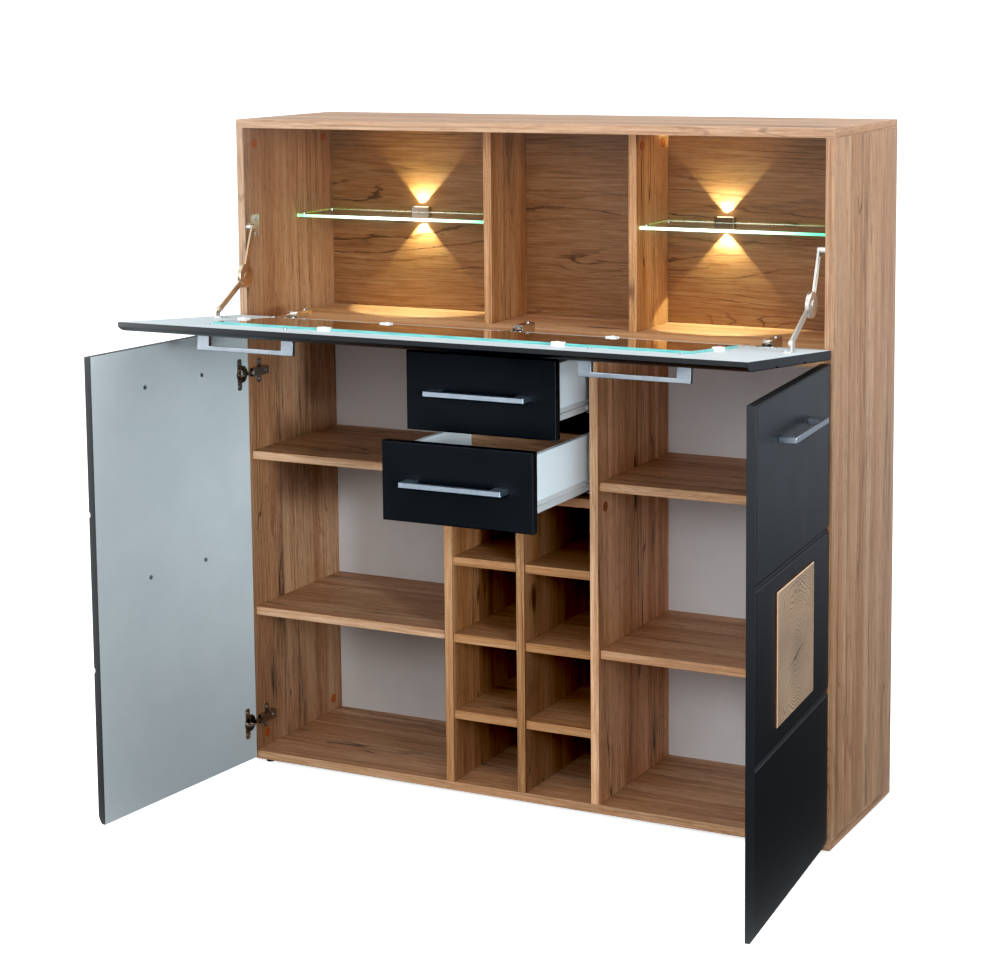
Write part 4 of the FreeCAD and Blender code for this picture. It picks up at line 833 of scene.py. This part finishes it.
def shelf_glass(side, lamp_x):
    material, tree, shader, at = new_material(side + "_shelf_glass")
    upright = add(tree, "ShaderNodeVectorMath", {0: at["Normal"]}, operation="ABSOLUTE").outputs[0]
    is_flat = placed_group(tree, facing, {"Normal": upright, "Direction": UP})["Mask"]
    front = placed_group(tree, facing, {"Normal": at["Normal"], "Direction": OUT})["Mask"]
    x = add(tree, "ShaderNodeSeparateXYZ", {0: at["Object"]}).outputs["X"]
    away = calc(tree, "ABSOLUTE", calc(tree, "SUBTRACT", x, lamp_x))
    flaws = cloud(tree, at["Object"], (60.0, 60.0, 900.0), 2.0).outputs[0]
    near = calc(tree, "MULTIPLY", fade(tree, away, 0.03, 0.24, 1.0, 0.0),
                fade(tree, flaws, 0.3, 0.7, 0.85, 1.0))
    tint = blended(tree, is_flat, GREEN, CLEAR)
    # the emission is painted light: a glow on the edges, brightest near the lamp
    ahead = blended(tree, near, PAINTED_EDGE_GLOW, PAINTED_GLOW_NEAR_LAMP)
    glow = blended(tree, front, PAINTED_REAR_GLOW, ahead)
    glow = blended(tree, is_flat, glow, (0.0, 0.0, 0.0, 1.0))
    fill(tree, shader, {"Base Color": tint, "Emission Color": glow, "Emission Strength": 3.5,
                        "Transmission Weight": 1.0, "IOR": 1.5,
                        "Roughness": calc(tree, "MULTIPLY", flaws, 0.03)})
    return material


lens_x = [v.co.x for v in nodes["clip_lamp_lenses"].data.vertices]
lamp_places = {"left": [x for x in lens_x if x < 0], "right": [x for x in lens_x if x > 0]}
lamp_x = {side: (min(xs) + max(xs)) / 2 for side, xs in lamp_places.items()}
print("lamps stand at X", {side: round(x, 3) for side, x in lamp_x.items()})
for side, x in lamp_x.items():
    paint(shelf_glass(side, x), side + "_glass_shelf")

# %% Mirror on the flap
def mirror_glass():
    material, tree, shader, at = new_material("flap_mirror")
    inward = tuple(turns["flap"] @ INWARD)
    is_face = placed_group(tree, facing, {"Normal": at["Normal"], "Direction": inward})["Mask"]
    dust = cloud(tree, at["Object"], (7.0, 7.0, 7.0), 4.0, 0.6).outputs[0]
    edge = ramp(tree, cloud(tree, at["Object"], (25.0, 400.0, 400.0), 2.0).outputs[0], [
        (0.35, srgb(84, 168, 164)), (0.65, srgb(122, 196, 190))])
    face = blended(tree, dust, srgb(206, 214, 212), srgb(220, 226, 224))
    inputs = {0: is_face, 2: 0.15, 3: calc(tree, "MULTIPLY", dust, 0.05)}
    rough = add(tree, "ShaderNodeMix", inputs).outputs[0]
    fill(tree, shader, {"Base Color": blended(tree, is_face, edge, face), "Metallic": is_face,
                        "Roughness": rough})
    return material


paint(mirror_glass(), "flap_glass")

# %% [markdown]
# ## Lamps
# Each clip lamp sends one warm cone up and one down along the back panel, from a frosted lens
# with three small chips behind it. The lens glows by itself, and a spot light stands just off
# each lens, so that the cones on the panel keep their sharp foot and soft far end. A faint soft
# light in front of each lamp stands for what the bar's boards throw about between them.

# %% Lenses and their cones of light
WARM = (1.0, 0.92, 0.50)
CHIP_PITCH = 0.009
CONE_POWER, CONE_DEGREES, CONE_BLEND, CONE_LEAN = 3.0, 88, 0.12, 0.12
OFF_LENS, CHIP_RADIUS = 0.002, 0.003
GLOW_POWER, GLOW_RADIUS, GLOW_AHEAD, GLOW_BELOW = 0.2, 0.06, 0.2, 0.02


def lens_finish():
    material, tree, shader, at = new_material("lamp_lens")
    x = add(tree, "ShaderNodeSeparateXYZ", {0: at["Object"]}).outputs["X"]
    is_right = calc(tree, "GREATER_THAN", x, 0.0)
    inputs = {0: is_right, 2: lamp_x["left"], 3: lamp_x["right"]}
    middle = add(tree, "ShaderNodeMix", inputs).outputs[0]
    step = calc(tree, "DIVIDE", calc(tree, "SUBTRACT", x, middle), CHIP_PITCH)
    off = calc(tree, "ABSOLUTE", calc(tree, "SUBTRACT", step, calc(tree, "ROUND", step)))
    chip = fade(tree, off, 0.12, 0.4, 1.0, 0.0)
    glow = blended(tree, chip, srgb(255, 206, 132), srgb(255, 244, 220))
    fill(tree, shader, {"Emission Color": glow, "Emission Strength": 6.0,
                        "Base Color": srgb(255, 236, 206), "Roughness": 0.35})
    return material


paint(lens_finish(), "clip_lamp_lenses")


def cone(name, place, tilt):
    """A warm spot light on a lens, up or down, leaning a little to the back panel."""
    light = bpy.data.lights.new(name, "SPOT")
    light.energy = CONE_POWER
    light.color = WARM
    light.spot_size = math.radians(CONE_DEGREES)
    light.spot_blend = CONE_BLEND
    light.shadow_soft_size = CHIP_RADIUS
    holder = placed(name, light)
    holder.location = place
    holder.rotation_euler = (tilt, 0.0, 0.0)


lens_low, lens_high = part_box("clip_lamp_lenses")
lens_y = (lens_low.y + lens_high.y) / 2
for side, x in lamp_x.items():
    for way, z, tilt in (("up", lens_high.z + OFF_LENS, math.pi - CONE_LEAN),
                         ("down", lens_low.z - OFF_LENS, CONE_LEAN)):
        cone(side + "_cone_" + way, (x, lens_y, z), tilt)
    glow = bpy.data.lights.new(side + "_glow", "POINT")
    glow.energy = GLOW_POWER
    glow.color = WARM
    glow.shadow_soft_size = GLOW_RADIUS
    holder = placed(side + "_glow", glow)
    holder.location = (x, lens_y - GLOW_AHEAD, lens_low.z - GLOW_BELOW)
    holder.visible_camera = False
    holder.visible_glossy = False
print("lenses from Z", round(lens_low.z, 3), "to", round(lens_high.z, 3))

# %% [markdown]
# ## Floor, light and camera
# The cabinet stands on a plain pale floor that reaches past the horizon, so that no edge of it
# shows from any side. Softboxes light it from the front and the right. A sky that is bright
# overhead and dim all round keeps the black fronts black while their upper edges still catch the
# light. The camera's lens is shifted, so that upright edges stay nearly parallel.

# %% Floor
FLOOR_SHINE = 0.72                  # what the camera sees beyond the lights' reach stays pale
FLOOR_RADIUS = 120.0


def pale_floor():
    mesh = bpy.data.meshes.new("floor")
    form = bmesh.new()
    bmesh.ops.create_circle(form, cap_ends=True, segments=64, radius=FLOOR_RADIUS)
    form.to_mesh(mesh)
    form.free()
    floor = placed("floor", mesh)
    material, tree, shader, at = new_material("pale_floor")
    haze = cloud(tree, at["Object"], (0.8, 0.8, 0.8), 3.0).outputs[0]
    tint = blended(tree, haze, srgb(240, 240, 240), srgb(245, 245, 245))
    away = add(tree, "ShaderNodeVectorMath", {0: at["Object"]}, operation="LENGTH").outputs["Value"]
    # To every ray but the camera's, the floor is painted dark near the cabinet and greyer further
    # off: painted shade that holds back its bounce light
    bounce_shade = blended(tree, fade(tree, away, 0.8, 5.5), srgb(52, 51, 50), srgb(176, 179, 184))
    seen = tree.nodes.new("ShaderNodeLightPath").outputs["Is Camera Ray"]
    shine = blended(tree, seen, (0.0, 0.0, 0.0, 1.0), (1.0, 1.0, 1.0, 1.0))
    rough = calc(tree, "ADD", calc(tree, "MULTIPLY", haze, 0.1), 0.6)
    fill(tree, shader, {"Base Color": blended(tree, seen, bounce_shade, tint),
                        "Emission Color": shine, "Emission Strength": FLOOR_SHINE,
                        "Roughness": rough, "Specular IOR Level": 0.1})
    mesh.materials.append(material)


pale_floor()

# %% Sky
FRONT_SKY, BACK_SKY, TOP_SKY, SEEN_SKY = 0.12, 0.05, 1.6, 1.1


def studio_sky():
    """Bright overhead, dim all round, and plain pale where the camera looks past."""
    world = bpy.data.worlds.new("studio")
    world.use_nodes = True
    bpy.context.scene.world = world
    tree = world.node_tree
    tree.nodes.clear()
    way = tree.nodes.new("ShaderNodeTexCoord").outputs["Generated"]
    parts = add(tree, "ShaderNodeSeparateXYZ", {0: way}).outputs
    around = fade(tree, parts["Y"], -0.2, 0.2, FRONT_SKY, BACK_SKY)
    above = fade(tree, parts["Z"], 0.1, 0.9, 0.0, TOP_SKY)
    level = calc(tree, "ADD", around, above)
    lit = add(tree, "ShaderNodeBackground", {0: (0.92, 0.96, 1.0, 1.0), 1: level}).outputs[0]
    seen = add(tree, "ShaderNodeBackground", {0: (1.0, 1.0, 1.0, 1.0), 1: SEEN_SKY}).outputs[0]
    direct = tree.nodes.new("ShaderNodeLightPath").outputs["Is Camera Ray"]
    mixed = add(tree, "ShaderNodeMixShader", {0: direct, 1: lit, 2: seen}).outputs[0]
    out = tree.nodes.new("ShaderNodeOutputWorld")
    tree.links.new(mixed, out.inputs["Surface"])


studio_sky()

# %% Lights
def aimed(name, light, place, target):
    holder = placed(name, light)
    holder.location = place
    holder.rotation_euler = (Vector(target) - Vector(place)).to_track_quat("-Z", "Y").to_euler()


def softbox(name, place, target, width, height, power, tint):
    light = bpy.data.lights.new(name, "AREA")
    light.shape = "RECTANGLE"
    light.size = width
    light.size_y = height
    light.energy = power
    light.color = tint
    aimed(name, light, place, target)


PLAIN, COOL, SUNNY = (0.99, 0.99, 1.0), (0.92, 0.97, 1.0), (1.0, 0.99, 0.97)
SOFTBOXES = [   # name, place, target, width, height, power, tint
    ("front_left", (-3.2, -3.2, 1.8), (0.0, 0.0, 0.7), 1.6, 1.6, 34.0, PLAIN),
    ("camera_key", (1.6, -4.6, 2.4), (0.1, 0.0, 0.6), 1.6, 1.2, 38.0, PLAIN),
    ("left_key", (-0.5, -4.6, 2.3), (0.1, 0.0, 0.6), 1.6, 1.2, 30.0, PLAIN),
    ("low_fill", (0.5, -4.6, 0.9), (0.1, 0.0, 0.6), 1.4, 1.0, 20.0, PLAIN),
    ("right_key", (3.4, -3.0, 1.7), (0.0, -0.2, 0.9), 1.4, 1.2, 56.0, COOL),
    ("side_top", (1.9, 0.3, 1.9), (0.65, 0.1, 1.3), 0.5, 0.5, 12.0, SUNNY)]
for row in SOFTBOXES:
    softbox(*row)
print("softboxes", len(SOFTBOXES))

# %% A narrow light on the drawers' sides
narrow = bpy.data.lights.new("drawer_spot", "SPOT")
narrow.energy = 560.0
narrow.color = (0.86, 0.95, 1.0)
narrow.spot_size = math.radians(13)
narrow.spot_blend = 1.0
narrow.shadow_soft_size = 0.25
aimed("drawer_spot", narrow, (3.4, -2.9, 1.2), (0.12, -0.36, 0.74))

# %% Camera
CAMERA_PLACE = (2.0373, -3.9720, 1.5918)
TURN_LEFT, TILT_DOWN, ROLL = 0.4755, 0.1251, -0.0098
LENS_MM, SENSOR_MM = 83.56, 36.0
SHIFT_UP = -0.18
SEE_AS_FAR = 400.0                  # past the far side of the floor

lens = bpy.data.cameras.new("camera")
lens.lens = LENS_MM
lens.sensor_width = SENSOR_MM
lens.shift_y = SHIFT_UP
lens.clip_end = SEE_AS_FAR
camera = placed("camera", lens)
look = Matrix.Rotation(TURN_LEFT, 4, "Z") @ Matrix.Rotation(math.pi / 2 - TILT_DOWN, 4, "X")
camera.matrix_world = Matrix.Translation(CAMERA_PLACE) @ look @ Matrix.Rotation(ROLL, 4, "Z")
bpy.context.scene.camera = camera

# %% [markdown]
# A studio picture is developed with some contrast: its deepest shadows are black and its
# highlights roll off gently. The scene's own curve does the same to the finished picture. It is
# a look for the render alone, so no material depends on it.

# %% Development curve
CURVE = ((0.05, 0.042), (0.2, 0.205), (0.45, 0.47), (0.75, 0.77))
view = bpy.context.scene.view_settings
view.view_transform = "Standard"
view.use_curve_mapping = True
tones = view.curve_mapping
tones.black_level = (0.010, 0.010, 0.010)
line = tones.curves[3]
for place, level in CURVE:
    line.points.new(place, level)
tones.update()
print("curve points", len(line.points))

# %% [markdown]
# The glass edges next to the lamps are brighter than white, and a lens spreads such light a
# little. The compositor adds that faint bloom to the picture. Only what is brighter than white
# feeds it, so the floor and the wood stay crisp.

# %% Bloom
BLOOM_FROM, BLOOM_STRENGTH, BLOOM_SIZE = 1.3, 0.35, 0.25
scene = bpy.context.scene
scene.use_nodes = True
picture = scene.node_tree
picture.nodes.clear()
layers = picture.nodes.new("CompositorNodeRLayers")
bloom = picture.nodes.new("CompositorNodeGlare")
bloom.glare_type = "BLOOM"
bloom.inputs["Threshold"].default_value = BLOOM_FROM
bloom.inputs["Strength"].default_value = BLOOM_STRENGTH
bloom.inputs["Size"].default_value = BLOOM_SIZE
done = picture.nodes.new("CompositorNodeComposite")
picture.links.new(layers.outputs["Image"], bloom.inputs["Image"])
picture.links.new(bloom.outputs["Image"], done.inputs["Image"])
print("compositor nodes", len(picture.nodes))
